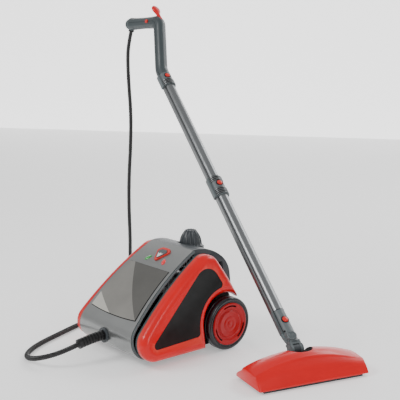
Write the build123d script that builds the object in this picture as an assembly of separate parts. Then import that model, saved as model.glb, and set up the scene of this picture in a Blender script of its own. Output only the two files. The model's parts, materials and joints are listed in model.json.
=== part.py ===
from build123d import *
import math
import os

# Canister steam cleaner with hose, wand and floor head. Millimetres and degrees.
# The canister faces -Y and stands on Z = 0 while it is drawn. X = 0 is its middle.

# ---- canister body ----
wall = 2.5                    # moulded wall of every cover
ground_gap = 18               # underside of the body above the floor
nose_radius = 50
nose_y = -131                 # centre of the rounded nose
crown_y = 44                  # where the front cover ends at the top
crown_height = 269
seam_half_width = 126.9       # half width of the grey middle at floor level
seam_lean = 0.14              # the sides lean in by this much per mm of height
gap_width = 4                 # dark chassis plate seen in the seam
trim_width = 10
pod_width = 30                # red side panel
pod_inset = 6                 # the red panels lie this far below the grey cover
pod_crown_y = 60
pod_crown_radius = 44
pod_height = 260
pod_edge_radius = 20
pod_tip_angle = 51            # where the rear of the panel meets the wheel arch
trim_inset = 2
trim_ring = 9
window_band = 26              # red band between the window and the edges around it
window_arch_band = 22
window_corner = 10
window_top_corner = 42
rear_wall_y = 137
rear_wall_top = 226
hood_top_y = 139
hood_top_height = 241
hood_rear_y = 163
hood_shoulder_height = 190
hood_lip_height = 158

# ---- wheels ----
axle_y = 110
axle_radius = 5
tyre_radius = 71.7
hub_radius = 57.9
tyre_width = 30
wheel_gap = 1.2               # between the chassis plate and the tyre
arch_gap = 6.8
hub_proud = 1.4
running_gap = 0.05            # radial clearance of every shaft in its bore
loose_gap = 0.4               # clearance between pieces that pass each other
body_screw_radius = 2
caster_y = -96
caster_trail = 9
caster_wheel_radius = 14
caster_wheel_width = 13
caster_pin_radius = 2
caster_stem_radius = 4
caster_well_radius = 27
caster_well_height = 18
fork_plate = 2.5
fork_arm_half = 5

# ---- boiler and what hangs on it ----
inlet_x = -70
inlet_z = 70
inlet_reach = 20
lead_radius = 3.5
tank_y = 70
tank_z = 132
tank_radius = 58
tank_length = 150
tank_wall = 2
filler_y = 107
neck_radius = 17
filler_bore_radius = 13
neck_top = 252
cap_seat = 257
cap_base_radius = 33.5
cap_top_radius = 18
cap_height = 46
cap_wall = 3
cap_flange = 5
cap_roof = 6
valve_height = 30
valve_depth = 44
socket_z = 62
socket_radius = 16
socket_proud = 5
pipe_radius = 4
pipe_x = 28
pipe_rise = 22
inlet_radius = 9

# ---- controls on the slope ----
panel_margin = 11             # from the seam to the faceted panel
panel_top = 92                # down the slope from the crown
panel_length = 159
panel_thickness = 3
control_drop = 24             # down the slope from the crown to the switch
switch_width = 46
switch_length = 44
switch_swing = 8
lamp_offset = 34
lamp_middle = 66

# ---- hose ----
hose_radius = 7
cuff_radius = 13.5
hose_route = [
    (-4, -262, 51), (-8, -304, 40), (-36, -345, 27), (-83, -361, 14), (-131, -347, 7), (-169, -306, 7),
    (-196, -250, 7), (-219, -197, 7), (-246, -136, 7), (-276, -62, 7), (-326, 14, 7), (-386, 84, 7),
    (-440, 164, 7), (-504, 240, 7), (-568, 298, 7), (-628, 344, 17), (-670, 374, 62), (-684, 385, 128),
    (-682, 380, 232), (-675, 377, 342), (-675, 386, 452), (-680, 393, 560), (-687, 390, 664),
    (-690, 389, 744), (-688, 391, 796), (-679, 397, 842),
]

# ---- wand and floor head ----
pivot_place = (390.3, 125.9, 60.9)
head_turn = -14.7             # plan direction of the wand, from +X
wand_lean = 52.5              # of the tubes, from upright
tube_radius = 16.5
tube_wall = 1.8
rail_reach = 21.5             # side duct, from the tube's axis
rail_width = 12
connector_length = 112.5
tube_length = 405.6
collar_length = 72
collar_radius = 20.5
plug_depth = 40               # how far a tube's end goes into the next piece
socket_length = 85
grip_turn = 20                # handle turned about the tube
gooseneck_bend = 26.6
gooseneck_length = 174
grip_angle = 40.9
grip_length = 181
handle_width = 36
handle_depth = 40
elbow_radius = 26
button_radius = 8
trigger_length = 70
trigger_width = 30
trigger_swing = 10
head_length = 306.6
head_front = 98
head_rear = -26
head_crest = 34
head_height = 70
head_end_height = 44
head_floor_gap = 6
head_wall = 3
head_screw_radius = 1.6
roll_axis_height = 30
notch_half_width = 34
notch_front = 20
notch_floor = 20
fit_gap = 0.1                 # around a tube in its socket
bend_radius = 60
button_proud = 2.5
connector_button_place = 79
connector_button_depth = 6
collar_button_place = 559
handle_button_place = 1033
ear_radius = 12
ear_half_width = 15.5         # outside of the fork round the pivot
tongue_half_width = 9
pitch_pin_radius = 4
roll_pin_radius = 3
rail_start = 46
line_radius = 4
line_start = 62
handle_wall = 3
cap_depth = 24
trigger_out = 8.7
trigger_lean = 25
trigger_hub_radius = 9
trigger_tail_width = 12
trigger_tail_length = 36
trigger_thickness = 9
trigger_pin_radius = 2.5
trigger_pin_half = 12
lock_button_back = 48
lock_button_radius = 6
handle_cuff_radius = 10.5
handle_cuff_length = 22
cuff_straight = 34
base_thickness = 5
lug_reach = 19
lug_thickness = 7
lug_radius = 8


def seam(z):
    return seam_half_width - seam_lean * z


def slope_point(centre, radius, angle):
    y, z = centre
    return (y + radius * math.cos(math.radians(angle)), z + radius * math.sin(math.radians(angle)))


def tangent_at(angle):
    return (math.sin(math.radians(angle)), -math.cos(math.radians(angle)))


def extrude_along_x(sketch, start, length):
    return extrude(Plane.YZ.offset(start) * sketch, amount=length)


def box_between(low, high):
    size = [b - a for a, b in zip(low, high)]
    middle = [(a + b) / 2 for a, b in zip(low, high)]
    return Pos(*middle) * Box(*size)


def rod(start, end, radius):
    axis = Vector(*end) - Vector(*start)
    return extrude(Plane(origin=start, z_dir=axis) * Circle(radius), amount=axis.length)


def tube_between(start, end, radius, bore):
    return rod(start, end, radius) - rod(start, end, bore)


def mirrored(solid):
    return mirror(solid, about=Plane.YZ)


# ---- outlines in the side view, as (Y, Z) ----

def front_curve(inset):
    """Nose and long front slope of the grey middle."""
    radius = nose_radius - inset
    centre = (nose_y, ground_gap + nose_radius)
    nose_angle = 139
    bottom = (nose_y, centre[1] - radius)
    nose_end = slope_point(centre, radius, nose_angle)
    crown = (crown_y, crown_height - inset / math.cos(math.radians(29)))
    nose = CenterArc(centre, radius, 270, nose_angle - 270)
    slope = TangentArc(nose_end, crown, tangent=tangent_at(nose_angle))
    return nose, slope, bottom, crown


def front_region(inset, below=0, behind=0):
    nose, slope, bottom, crown = front_curve(inset)
    back = Polyline(
        crown,
        (crown_y + behind, crown[1]),
        (crown_y + behind, bottom[1] - below),
        (nose_y, bottom[1] - below),
        bottom,
    ) if behind else Polyline(crown, (crown_y, bottom[1]), bottom)
    return make_face(Curve() + [nose, slope, back])


def pod_outline(rear_corners):
    """Side view of a red panel, closed by the given points behind and below."""
    nose_r = nose_radius - pod_inset
    nose_c = (nose_y + 3, ground_gap + nose_r)
    crown_c = (pod_crown_y, pod_height - pod_crown_radius)
    nose_end = slope_point(nose_c, nose_r, 137)
    crown_start = slope_point(crown_c, pod_crown_radius, 120)
    crown_end = slope_point(crown_c, pod_crown_radius, 35)
    tip = slope_point((axle_y, tyre_radius), tyre_radius + arch_gap, pod_tip_angle)
    front = [
        CenterArc(nose_c, nose_r, 270, 137 - 270),
        TangentArc(nose_end, crown_start, tangent=tangent_at(137)),
        CenterArc(crown_c, pod_crown_radius, 120, 35 - 120),
        TangentArc(crown_end, tip, tangent=tangent_at(35)),
    ]
    closing = Polyline(tip, *rear_corners, (nose_c[0], ground_gap))
    return make_face(Curve() + front + [closing])


def plate_region(inset):
    """Side view of the chassis plate, which also backs the wheel."""
    rear = rear_wall_y + wall + inset
    return offset(pod_outline([(rear, tyre_radius), (rear, ground_gap)]), -inset)


def pod_region(inset):
    """Side view of a red panel, cut away round the wheel."""
    rear = rear_wall_y + wall
    arch_radius = tyre_radius + arch_gap
    arch = Pos(axle_y, tyre_radius) * Circle(arch_radius)
    below_arch = Pos(axle_y, 0) * Rectangle(2 * arch_radius, 2 * tyre_radius)
    whole = pod_outline([(rear, tyre_radius), (rear, ground_gap)]) - arch - below_arch
    panel = Sketch() + whole.faces().sort_by(SortBy.AREA)[-1:]
    return offset(panel, -inset) if inset else panel


def window_region(inset):
    """Side view of the dark window inside the red band."""
    nose_c = (nose_y + 3, ground_gap + nose_radius - pod_inset)
    low = ground_gap + window_band + 8
    arch = Pos(axle_y, tyre_radius) * Circle(tyre_radius + arch_gap + window_arch_band)
    corners = [
        (nose_c[0] - 28, low),
        (axle_y - tyre_radius - arch_gap - window_arch_band + 8, low + 7),
        (axle_y, tyre_radius),
        (axle_y, 163),
        (57, 253),
    ]
    triangle = make_face(Polyline(*corners, close=True)) - arch
    glass = Sketch() + triangle.faces().sort_by(SortBy.AREA)[-1:]
    corners = glass.vertices().sort_by(Axis.Y)
    glass = fillet(corners[-1], window_top_corner)
    small = [v for v in glass.vertices() if v.Y < low + 40 or (v.X > axle_y - 20 and v.Y < 185)]
    glass = fillet(small, window_corner)
    return offset(glass, -inset) if inset else glass


def hood_region(inset, beyond):
    """Side view of the raised rear hood; beyond opens it in front and below."""
    front = crown_y - beyond
    wall_y = rear_wall_y + wall + loose_gap - beyond
    start = (crown_y, crown_height - inset)
    lines = [
        ThreePointArc(start, (100, 263 - inset), (hood_top_y - inset * 0.6, hood_top_height - inset)),
        ThreePointArc(
            (hood_top_y - inset * 0.6, hood_top_height - inset),
            (hood_rear_y - 6 - inset, 218 - inset * 0.5),
            (hood_rear_y - inset, hood_shoulder_height),
        ),
        Polyline(
            (hood_rear_y - inset, hood_shoulder_height),
            (hood_rear_y - inset, hood_lip_height - beyond),
            (wall_y, hood_lip_height - beyond),
            (wall_y, rear_wall_top - beyond),
            (front, rear_wall_top - beyond),
            (front, crown_height - inset),
        ),
    ]
    if beyond:
        lines.append(Line((front, crown_height - inset), start))
    return make_face(Curve() + lines)


# ---- solids between the leaning sides ----

def leaning(sketch, inner, outer):
    """The +X piece of a side view between two planes that lean with the seam."""
    low, high = -50, 450
    at_low = [(seam(low) + inner, low), (seam(low) + outer, low)]
    at_high = [(seam(high) + outer, high), (seam(high) + inner, high)]
    corners = at_low + at_high
    slab = extrude(Plane.XZ * make_face(Polyline(*corners, close=True)), amount=500, both=True)
    return extrude_along_x(sketch, 0, 300) & slab


def middle(sketch, inset=0):
    """The grey middle of a side view, up to the seam on both sides."""
    low, high = -50, 450
    half = [(seam(low) - inset, low), (seam(high) - inset, high)]
    corners = half + [(-x, z) for x, z in reversed(half)]
    slab = extrude(Plane.XZ * make_face(Polyline(*corners, close=True)), amount=500, both=True)
    return extrude_along_x(sketch, -300, 600) & slab


def region_yz(low, high):
    centre = ((low[0] + high[0]) / 2, (low[1] + high[1]) / 2)
    return Pos(*centre) * Rectangle(high[0] - low[0], high[1] - low[1])


def slope_frame(distance, across=0):
    """A plane on the front slope, this far down from the crown; its Y points up the slope."""
    curve = front_curve(0)[1]
    at = 1 - distance / curve.length
    point = curve @ at
    run = curve % at
    return Plane(origin=(across, point.X, point.Y), x_dir=(1, 0, 0), z_dir=(0, -run.Y, run.X))


# ---- canister pieces ----

def chassis_base():
    floor_top = ground_gap + wall
    floor = middle(region_yz((nose_y, ground_gap), (rear_wall_y, floor_top)))
    for x, y in body_screw_places():
        floor -= rod((x, y, 0), (x, y, floor_top + 10), body_screw_radius + loose_gap)
    sill = leaning(region_yz((nose_y, ground_gap), (rear_wall_y, ground_gap + 12)), 0, gap_width)
    plate = leaning(plate_region(pod_inset), 0, gap_width)
    well_top = ground_gap + caster_well_height + wall
    well = rod((0, caster_y, ground_gap), (0, caster_y, well_top), caster_well_radius + wall)
    boss = rod((0, caster_y, well_top - wall), (0, caster_y, valve_bottom()), caster_stem_radius + 5)
    base = floor + plate + mirrored(plate) + sill + mirrored(sill) + well + boss
    for x in (-62, 62):
        rib = box_between((x - 4, axle_y - 12, ground_gap), (x + 4, axle_y + 12, axle_rib_top()))
        base += rib
    base -= rod((0, caster_y, 0), (0, caster_y, ground_gap + caster_well_height), caster_well_radius)
    base -= rod((0, caster_y, 0), (0, caster_y, valve_bottom() - wall), caster_stem_radius + running_gap)
    base -= rod((-200, axle_y, tyre_radius), (200, axle_y, tyre_radius), axle_radius + running_gap)
    return base


def valve_bottom():
    return socket_z - valve_height / 2


def axle_rib_top():
    return tyre_radius + axle_radius + 2.5


def body_screw_places():
    return [(side * 85, y) for side in (-1, 1) for y in (nose_y + 20, -30, rear_wall_y - 50)]


def body_screws():
    screws = []
    for x, y in body_screw_places():
        under = ground_gap - running_gap
        head = rod((x, y, under - 2), (x, y, under), 2 * body_screw_radius)
        screws.append(head + rod((x, y, under), (x, y, ground_gap + 9), body_screw_radius))
    return Part() + screws


def front_cover():
    band = middle(front_region(0)) - middle(front_region(wall, 10, 10), -20)
    band -= rod((0, nose_y - 200, socket_z), (0, nose_y + 20, socket_z), socket_radius + running_gap)
    band -= extrude(slope_frame(control_middle()) * switch_outline(1.4 + running_gap), amount=30, both=True)
    for side in (-1, 1):
        band -= lamp_solid(side, running_gap, 10)
    return band


def control_middle():
    return control_drop + switch_length / 2


def facet_panel():
    skin = middle(front_region(-panel_thickness), panel_margin) - middle(front_region(0), -50)
    return skin & (slope_frame(panel_top + panel_length / 2) * Box(400, panel_length, 60))


def side_panel():
    outer = leaning(pod_region(0), gap_width + trim_width, gap_width + trim_width + pod_width)
    rim = outer.faces().filter_by(lambda face: face.normal_at().X > 0.98).sort_by(Axis.X)[-1]
    outer = fillet(rim.edges(), pod_edge_radius)
    inner = leaning(pod_region(wall), gap_width + trim_width - 5, gap_width + trim_width + pod_width - wall)
    rim = inner.faces().filter_by(lambda face: face.normal_at().X > 0.98).sort_by(Axis.X)[-1]
    inner = fillet(rim.edges(), pod_edge_radius - wall)
    opening = leaning(window_region(0), gap_width + trim_width, gap_width + trim_width + pod_width + 5)
    return outer - inner - opening


def side_window():
    front = gap_width + trim_width + pod_width - 0.8
    pane = leaning(window_region(0.15), front - wall, front)
    return pane


def side_trim():
    ring = pod_region(trim_inset) - pod_region(trim_inset + trim_ring)
    return leaning(ring, gap_width, gap_width + trim_width)


def rear_hood():
    shell = middle(hood_region(0, 0)) - middle(hood_region(wall, 5), wall)
    boss_bottom = hood_top_height - 6
    boss = rod((0, filler_y, boss_bottom), (0, filler_y, cap_seat), cap_base_radius + 3.5)
    shell -= rod((0, filler_y, cap_seat), (0, filler_y, cap_seat + 50), cap_base_radius + 3.5)
    shell += boss
    return shell - rod((0, filler_y, 0), (0, filler_y, 400), neck_radius + loose_gap)


def rear_cover():
    area = region_yz((rear_wall_y, ground_gap), (rear_wall_y + wall, rear_wall_top))
    hole = rod(
        (inlet_x, rear_wall_y - inlet_reach, inlet_z),
        (inlet_x, rear_wall_y + inlet_reach, inlet_z),
        inlet_radius + running_gap,
    )
    return middle(area, wall + loose_gap) - hole


def mains_inlet():
    start = (inlet_x, rear_wall_y - 10, inlet_z)
    body = rod(start, (inlet_x, rear_wall_y + wall, inlet_z), inlet_radius)
    outside = rear_wall_y + wall
    collar = rod((inlet_x, outside, inlet_z), (inlet_x, outside + 5, inlet_z), inlet_radius + 3)
    return body + collar - rod(start, (inlet_x, rear_wall_y + inlet_reach, inlet_z), lead_radius)


def boiler_tank():
    tank = rod((-tank_length / 2, tank_y, tank_z), (tank_length / 2, tank_y, tank_z), tank_radius)
    tank = fillet(tank.edges().filter_by(GeomType.CIRCLE), 14)
    half = tank_length / 2 - tank_wall
    hollow = rod((-half, tank_y, tank_z), (half, tank_y, tank_z), tank_radius - tank_wall)
    hollow = fillet(hollow.edges().filter_by(GeomType.CIRCLE), 12)
    neck = rod((0, filler_y, tank_z + 20), (0, filler_y, neck_top), neck_radius)
    bore = rod((0, filler_y, tank_z + 20), (0, filler_y, neck_top), filler_bore_radius)
    return tank + neck - hollow - bore


def boiler_brackets():
    brackets = []
    for x in (-55, 55):
        block = box_between((x - 5, tank_y - 34, ground_gap + wall), (x + 5, tank_y + 26, tank_z - 37))
        brackets.append(block - rod((-100, tank_y, tank_z), (100, tank_y, tank_z), tank_radius + 0.3))
    return Part() + brackets


def heating_element():
    saddle = tube_between((-44, tank_y, tank_z), (44, tank_y, tank_z), tank_radius + 6, tank_radius + 0.1)
    saddle &= box_between((-50, tank_y - 34, 0), (50, tank_y + 26, tank_z - 40))
    for x in (-30, 30):
        saddle += rod((x, tank_y, tank_z - tank_radius - 16), (x, tank_y, tank_z - tank_radius - 3), 3)
    return saddle


def steam_valve():
    low = (-16, socket_back(), valve_bottom())
    high = (16, socket_back() + valve_depth, valve_bottom() + valve_height)
    coil = rod((0, socket_back() + 22, high[2]), (0, socket_back() + 22, high[2] + 16), 11)
    return box_between(low, high) + coil


def socket_back():
    return nose_y - 22


def steam_pipe():
    top = tank_z + tank_radius
    start_y = socket_back() + valve_depth
    front = tank_y - tank_radius - 3 * pipe_radius
    bend_z = top + pipe_rise
    points = [
        (pipe_x, tank_y, top), (pipe_x, tank_y, bend_z), (pipe_x, front, bend_z), (pipe_x, front, socket_z),
        (0, start_y + 24, socket_z), (0, start_y, socket_z),
    ]
    path = FilletPolyline(*points, radius=9)
    return sweep(Plane(origin=points[0], z_dir=(0, 0, 1)) * Circle(pipe_radius), path=path)


def control_board():
    frame = slope_frame(control_middle() + 18)
    board = frame * (Pos(0, 0, -22) * Box(110, 74, 1.6))
    posts = [frame * (Pos(x, y, -13) * Cylinder(3, 17)) for x in (-48, 48) for y in (-30, 30)]
    inside = middle(front_region(wall, 10, 10), 1)
    return (board + posts) & inside


def hose_socket():
    front = nose_y - nose_radius - socket_proud
    body = rod((0, front, socket_z), (0, socket_back(), socket_z), socket_radius)
    flange = rod((0, front, socket_z), (0, front + socket_proud - 0.3, socket_z), socket_radius + 4)
    return body + flange - rod((0, front, socket_z), (0, socket_back(), socket_z), 6)


def switch_outline(grow):
    half = switch_width / 2 + grow
    length = switch_length / 2 + grow
    points = [
        (-half, length * 0.55), (-half * 0.55, length), (half * 0.55, length), (half, length * 0.55),
        (0, -length * 1.15),
    ]
    return fillet(make_face(Polyline(*points, close=True)).vertices(), 7)


def switch_bezel():
    frame = slope_frame(control_middle())
    outer = extrude(frame * switch_outline(1.4), amount=-9) + extrude(frame * switch_outline(3.5), amount=3)
    return outer - extrude(frame * switch_outline(-3.5), amount=20, both=True)


def power_switch():
    frame = slope_frame(control_middle())
    return extrude(frame * (Pos(0, 0, -6) * switch_outline(-4.5)), amount=10.5)


def lamp_solid(side, grow, depth):
    frame = slope_frame(lamp_middle, side * lamp_offset)
    outline = Rot(0, 0, side * 32) * Ellipse(6 + grow, 11 + grow)
    return extrude(frame * outline, amount=depth, both=True)


def lamp(side):
    return lamp_solid(side, 0, 2.5)


def wheel_inner():
    return seam_half_width + gap_width + wheel_gap


def wheel_outer():
    return wheel_inner() + tyre_width


def turned(points, plane_origin, axis):
    """A turned piece: points are (distance along the axis, radius)."""
    origin = Vector(*plane_origin)
    sketch = make_face(Polyline(*points, close=True))
    side = Vector(0, 1, 0) if abs(Vector(*axis).Y) < 0.5 else Vector(0, 0, 1)
    frame = Plane(origin=origin, x_dir=axis, z_dir=Vector(*axis).cross(side))
    return revolve(frame * sketch, axis=Axis(origin, axis))


def tyre():
    hole = hub_radius + running_gap
    inner, outer = wheel_inner(), wheel_outer()
    points = [(inner, hole), (outer, hole), (outer, tyre_radius), (inner, tyre_radius)]
    ring = turned(points, (0, axle_y, tyre_radius), (1, 0, 0))
    circles = ring.edges().filter_by(GeomType.CIRCLE)
    shoulders = circles.filter_by(lambda edge: abs(edge.radius - tyre_radius) < 0.1)
    return fillet(shoulders, 6)


def wheel_hub():
    inner = wheel_inner() + 1
    outer = wheel_outer() + hub_proud
    bore = axle_radius + running_gap
    points = [
        (inner, bore), (inner, 13), (outer - 12, 15), (outer - 12, hub_radius - 6),
        (inner, hub_radius - 4), (inner, hub_radius), (outer, hub_radius),
        (outer, hub_radius - 7), (outer - 4, hub_radius - 12), (outer - 4, 34), (outer - 1, 30), (outer - 1, 0),
        (outer - 4, 0), (outer - 4, bore),
    ]
    return turned(points, (0, axle_y, tyre_radius), (1, 0, 0))


def wheel_axle():
    end = wheel_outer() + hub_proud - 4 - loose_gap
    return rod((-end, axle_y, tyre_radius), (end, axle_y, tyre_radius), axle_radius)


def caster_wheel_y():
    return caster_y + caster_trail


def caster_rod(half, radius):
    """A rod along the caster wheel's axle line."""
    centre = (caster_wheel_y(), caster_wheel_radius)
    return rod((-half, *centre), (half, *centre), radius)


def caster_fork():
    top = ground_gap + caster_well_height - loose_gap
    plate_bottom = (0, caster_y, top - fork_plate)
    plate = rod(plate_bottom, (0, caster_y, top), caster_well_radius - 6)
    stem_top = valve_bottom() - wall - loose_gap
    fork = plate + rod(plate_bottom, (0, caster_y, stem_top), caster_stem_radius)
    inner = caster_wheel_width / 2 + loose_gap
    for side in (-1, 1):
        low_x, high_x = sorted((side * inner, side * (inner + fork_plate)))
        low = (low_x, caster_wheel_y() - fork_arm_half, caster_wheel_radius - fork_arm_half)
        high = (high_x, caster_wheel_y() + fork_arm_half, top - fork_plate)
        fork += box_between(low, high)
    return fork - caster_rod(30, caster_pin_radius + running_gap)


def caster_wheel():
    half = caster_wheel_width / 2
    wheel = fillet(caster_rod(half, caster_wheel_radius).edges(), 2)
    return wheel - caster_rod(half, caster_pin_radius + running_gap)


def caster_axle():
    half = caster_wheel_width / 2 + loose_gap + fork_plate
    return caster_rod(half, caster_pin_radius)


def cap_shell():
    low = cap_seat + loose_gap
    top = low + cap_height
    outer = [(low, 0), (low, cap_base_radius), (low + 9, cap_base_radius), (top, cap_top_radius), (top - 2, 0)]
    inside = cap_base_radius - cap_wall
    ceiling = top - cap_roof
    inner = [(low, 0), (low, inside), (low + 8, inside), (ceiling, cap_top_radius - cap_wall), (ceiling, 0)]
    return turned(outer, (0, filler_y, 0), (0, 0, 1)) - turned(inner, (0, filler_y, 0), (0, 0, 1))


def cap_core():
    low = cap_seat + loose_gap
    flange = rod((0, filler_y, low), (0, filler_y, low + cap_flange), cap_base_radius - cap_wall - loose_gap)
    plug = rod((0, filler_y, neck_top - 26), (0, filler_y, low), filler_bore_radius - loose_gap)
    post_top = low + cap_height - cap_roof - loose_gap
    post = rod((0, filler_y, low + cap_flange), (0, filler_y, post_top), 6)
    return flange + plug + post


# ---- wand frames ----

plan_direction = Vector(math.cos(math.radians(head_turn)), math.sin(math.radians(head_turn)), 0)
side_direction = Vector(-plan_direction.Y, plan_direction.X, 0)
upright = Vector(0, 0, 1)
lean_sin = math.sin(math.radians(wand_lean))
lean_cos = math.cos(math.radians(wand_lean))
wand_axis = upright * lean_cos - plan_direction * lean_sin
wand_front = plan_direction * lean_cos + upright * lean_sin
pivot = Vector(*pivot_place)
collar_start = connector_length + tube_length
upper_start = collar_start + collar_length
socket_start = upper_start + tube_length
bend_place = pivot + wand_axis * (socket_start + socket_length)
turn_sin = math.sin(math.radians(grip_turn))
turn_cos = math.cos(math.radians(grip_turn))
grip_front = wand_front * turn_cos + side_direction * turn_sin
grip_side = side_direction * turn_cos - wand_front * turn_sin
bend = math.radians(gooseneck_bend)
back = math.radians(grip_angle)
gooseneck_axis = wand_axis * math.cos(bend) + grip_front * math.sin(bend)
grip_axis = wand_axis * math.cos(back) - grip_front * math.sin(back)
elbow_place = bend_place + gooseneck_axis * gooseneck_length
grip_end = elbow_place + grip_axis * grip_length


def wand_frame(distance):
    """Across the wand: X to its front, Y to its side."""
    return Plane(origin=pivot + wand_axis * distance, x_dir=wand_front, z_dir=wand_axis)


def head_frame(height=0):
    """Flat on the floor under the pivot: X forward, Y along the head."""
    return Plane(origin=(pivot.X, pivot.Y, height), x_dir=plan_direction, z_dir=upright)


def tube_outline(grow=0):
    rail = Pos(0, -(rail_reach + grow) / 2) * Rectangle(rail_width + 2 * grow, rail_reach + grow)
    return Circle(tube_radius + grow) + rail


def wand_piece(outline, start, end):
    return extrude(wand_frame(start) * outline, amount=end - start)


# ---- wand pieces ----

def wand_tube(start, end):
    bore = Circle(tube_radius - tube_wall)
    return wand_piece(tube_outline(), start, end) - wand_piece(bore, start - 1, end + 1)


def button_hole(distance, grow=0.4):
    frame = wand_frame(distance)
    return extrude(Plane(origin=frame.origin, z_dir=wand_front) * Circle(button_radius + grow), amount=40)


def latch_button(distance, surface):
    """A round button through the front of a sleeve; surface is its outer radius there."""
    frame = Plane(origin=wand_frame(distance).origin, z_dir=wand_front)
    button = extrude(frame.offset(surface - 6) * Circle(button_radius), amount=6 + button_proud)
    return fillet(button.edges().sort_by(lambda edge: (edge.center() - pivot).dot(wand_front))[-1:], 2)


def lower_tube():
    tube = wand_tube(connector_length, collar_start + plug_depth - 6)
    return tube - button_hole(collar_button_place)


def upper_tube():
    tube = wand_tube(collar_start + plug_depth - 2, socket_start + plug_depth)
    return tube - button_hole(handle_button_place) - button_hole(collar_button_place)


def tube_collar():
    outside = wand_piece(tube_outline(collar_radius - tube_radius), collar_start, upper_start)
    room = wand_piece(tube_outline(fit_gap), collar_start, upper_start)
    return outside - room - button_hole(collar_button_place)


def connector():
    body = wand_piece(Circle(tube_radius), ear_radius + 3, connector_length)
    rail = Pos(0, -rail_reach / 2) * Rectangle(rail_width, rail_reach)
    body += wand_piece(rail, rail_start, connector_length)
    plug_end = connector_length + plug_depth
    body += wand_piece(Circle(tube_radius - tube_wall - fit_gap), connector_length, plug_end)
    slot = Plane(origin=pivot, x_dir=wand_front, z_dir=side_direction)
    body += extrude(slot * Circle(ear_radius), amount=ear_half_width, both=True)
    body += wand_piece(Rectangle(2 * ear_radius, 2 * ear_half_width), 0, ear_radius + 8)
    body -= extrude(slot * Circle(ear_radius + 2), amount=tongue_half_width + loose_gap, both=True)
    body -= extrude(slot * Circle(pitch_pin_radius + running_gap), amount=40, both=True)
    body -= wand_piece(Circle(line_radius + running_gap), 20, plug_end + 1)
    pocket = button_hole(connector_button_place) & wand_piece(Rectangle(80, 80), 40, 120)
    return body - (pocket & front_half(connector_button_depth))


def front_half(depth):
    frame = Plane(origin=pivot + wand_front * depth, z_dir=wand_front)
    return extrude(frame * Rectangle(3000, 3000), amount=60)


def steam_line():
    line = wand_piece(Circle(line_radius), line_start, socket_start + socket_length - 6)
    return line - wand_piece(Circle(line_radius - 1), 0, 2000)


def handle_path():
    start = pivot + wand_axis * socket_start
    return FilletPolyline(start, bend_place, elbow_place, grip_end, radius=[bend_radius, elbow_radius])


def handle_section(inset):
    frame = Plane(origin=pivot + wand_axis * socket_start, x_dir=grip_front, z_dir=wand_axis)
    return frame * Ellipse(handle_depth / 2 - inset, handle_width / 2 - inset)


def side_plane():
    return Plane(origin=bend_place, x_dir=grip_front, z_dir=grip_side)


def trigger_place():
    outward = (gooseneck_axis - grip_axis).normalized()
    return elbow_place + outward * trigger_out


def trigger_frame(turn=0):
    """In the handle's middle plane at the trigger's pin: X along the blade."""
    angle = math.radians(trigger_lean + turn)
    square = (grip_axis - gooseneck_axis * grip_axis.dot(gooseneck_axis)).normalized()
    along = gooseneck_axis * math.cos(angle) + square * math.sin(angle)
    return Plane(origin=trigger_place(), x_dir=along, z_dir=grip_side)


def trigger_slot():
    """Room for the trigger's hub and tail over its whole swing."""
    half = trigger_tail_width / 2 + loose_gap
    reach = trigger_tail_length + 6
    tail = Pos(reach / 2, 0) * Rectangle(reach, trigger_thickness + 2 * loose_gap)
    room = extrude(trigger_frame() * Circle(trigger_hub_radius + loose_gap), amount=half, both=True)
    for turn in (0, trigger_swing / 2, trigger_swing):
        room += extrude(trigger_frame(turn) * tail, amount=half, both=True)
    return room


def trigger():
    frame = trigger_frame()
    hub = extrude(frame * Circle(trigger_hub_radius), amount=trigger_tail_width / 2, both=True)
    blade_plane = Plane(origin=frame.origin, x_dir=frame.x_dir, z_dir=frame.y_dir)
    tail = Pos(trigger_tail_length / 2, 0) * Rectangle(trigger_tail_length, trigger_tail_width)
    leaf_middle = (trigger_tail_length + trigger_length) / 2
    leaf = Pos(leaf_middle, 0) * Ellipse((trigger_length - trigger_tail_length) / 2 + 2, trigger_width / 2)
    blade = extrude(blade_plane * (tail + leaf), amount=trigger_thickness / 2, both=True)
    hole = extrude(frame * Circle(trigger_pin_radius + running_gap), amount=40, both=True)
    return hub + blade - hole


def trigger_pin():
    return extrude(trigger_frame() * Circle(trigger_pin_radius), amount=trigger_pin_half, both=True)


def lock_button_frame():
    place = elbow_place + grip_axis * lock_button_back + grip_side * -(handle_width / 2)
    return Plane(origin=place, z_dir=grip_side)


def lock_button():
    frame = lock_button_frame()
    return extrude(frame.offset(-button_proud) * Circle(lock_button_radius), amount=9)


def handle_body():
    """The whole handle before it is parted into two shells."""
    shell_end = grip_length - cap_depth
    outer = sweep(handle_section(0), path=handle_path())
    inner = sweep(handle_section(handle_wall), path=handle_path())
    sleeve_end = socket_start + plug_depth + 12
    sleeve = wand_piece(tube_outline(collar_radius - tube_radius), socket_start, sleeve_end)
    room = wand_piece(tube_outline(fit_gap), socket_start, socket_start + plug_depth + 0.5)
    end = Plane(origin=elbow_place + grip_axis * shell_end, z_dir=grip_axis)
    body = outer + sleeve - inner - room
    body -= extrude(end * Rectangle(200, 200), amount=100)
    body -= button_hole(handle_button_place)
    body -= trigger_slot()
    pin_hole = trigger_frame() * Circle(trigger_pin_radius + running_gap)
    body -= extrude(pin_hole, amount=trigger_pin_half + 0.2, both=True)
    body -= extrude(lock_button_frame().offset(-10) * Circle(lock_button_radius + loose_gap), amount=20)
    return body


def handle_shell(body, keep):
    half = split(body, bisect_by=side_plane(), keep=keep)
    return half.solids().sort_by(SortBy.VOLUME)[-1]


def handle_valve():
    place = bend_place + gooseneck_axis * (gooseneck_length * 0.62)
    frame = Plane(origin=place, x_dir=grip_front, z_dir=gooseneck_axis)
    block = frame * Box(18, 16, 34)
    reach = handle_width / 2 - handle_wall - 0.4
    pins = extrude(Plane(origin=place, z_dir=grip_side) * Circle(3), amount=reach, both=True)
    return block + pins


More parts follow.
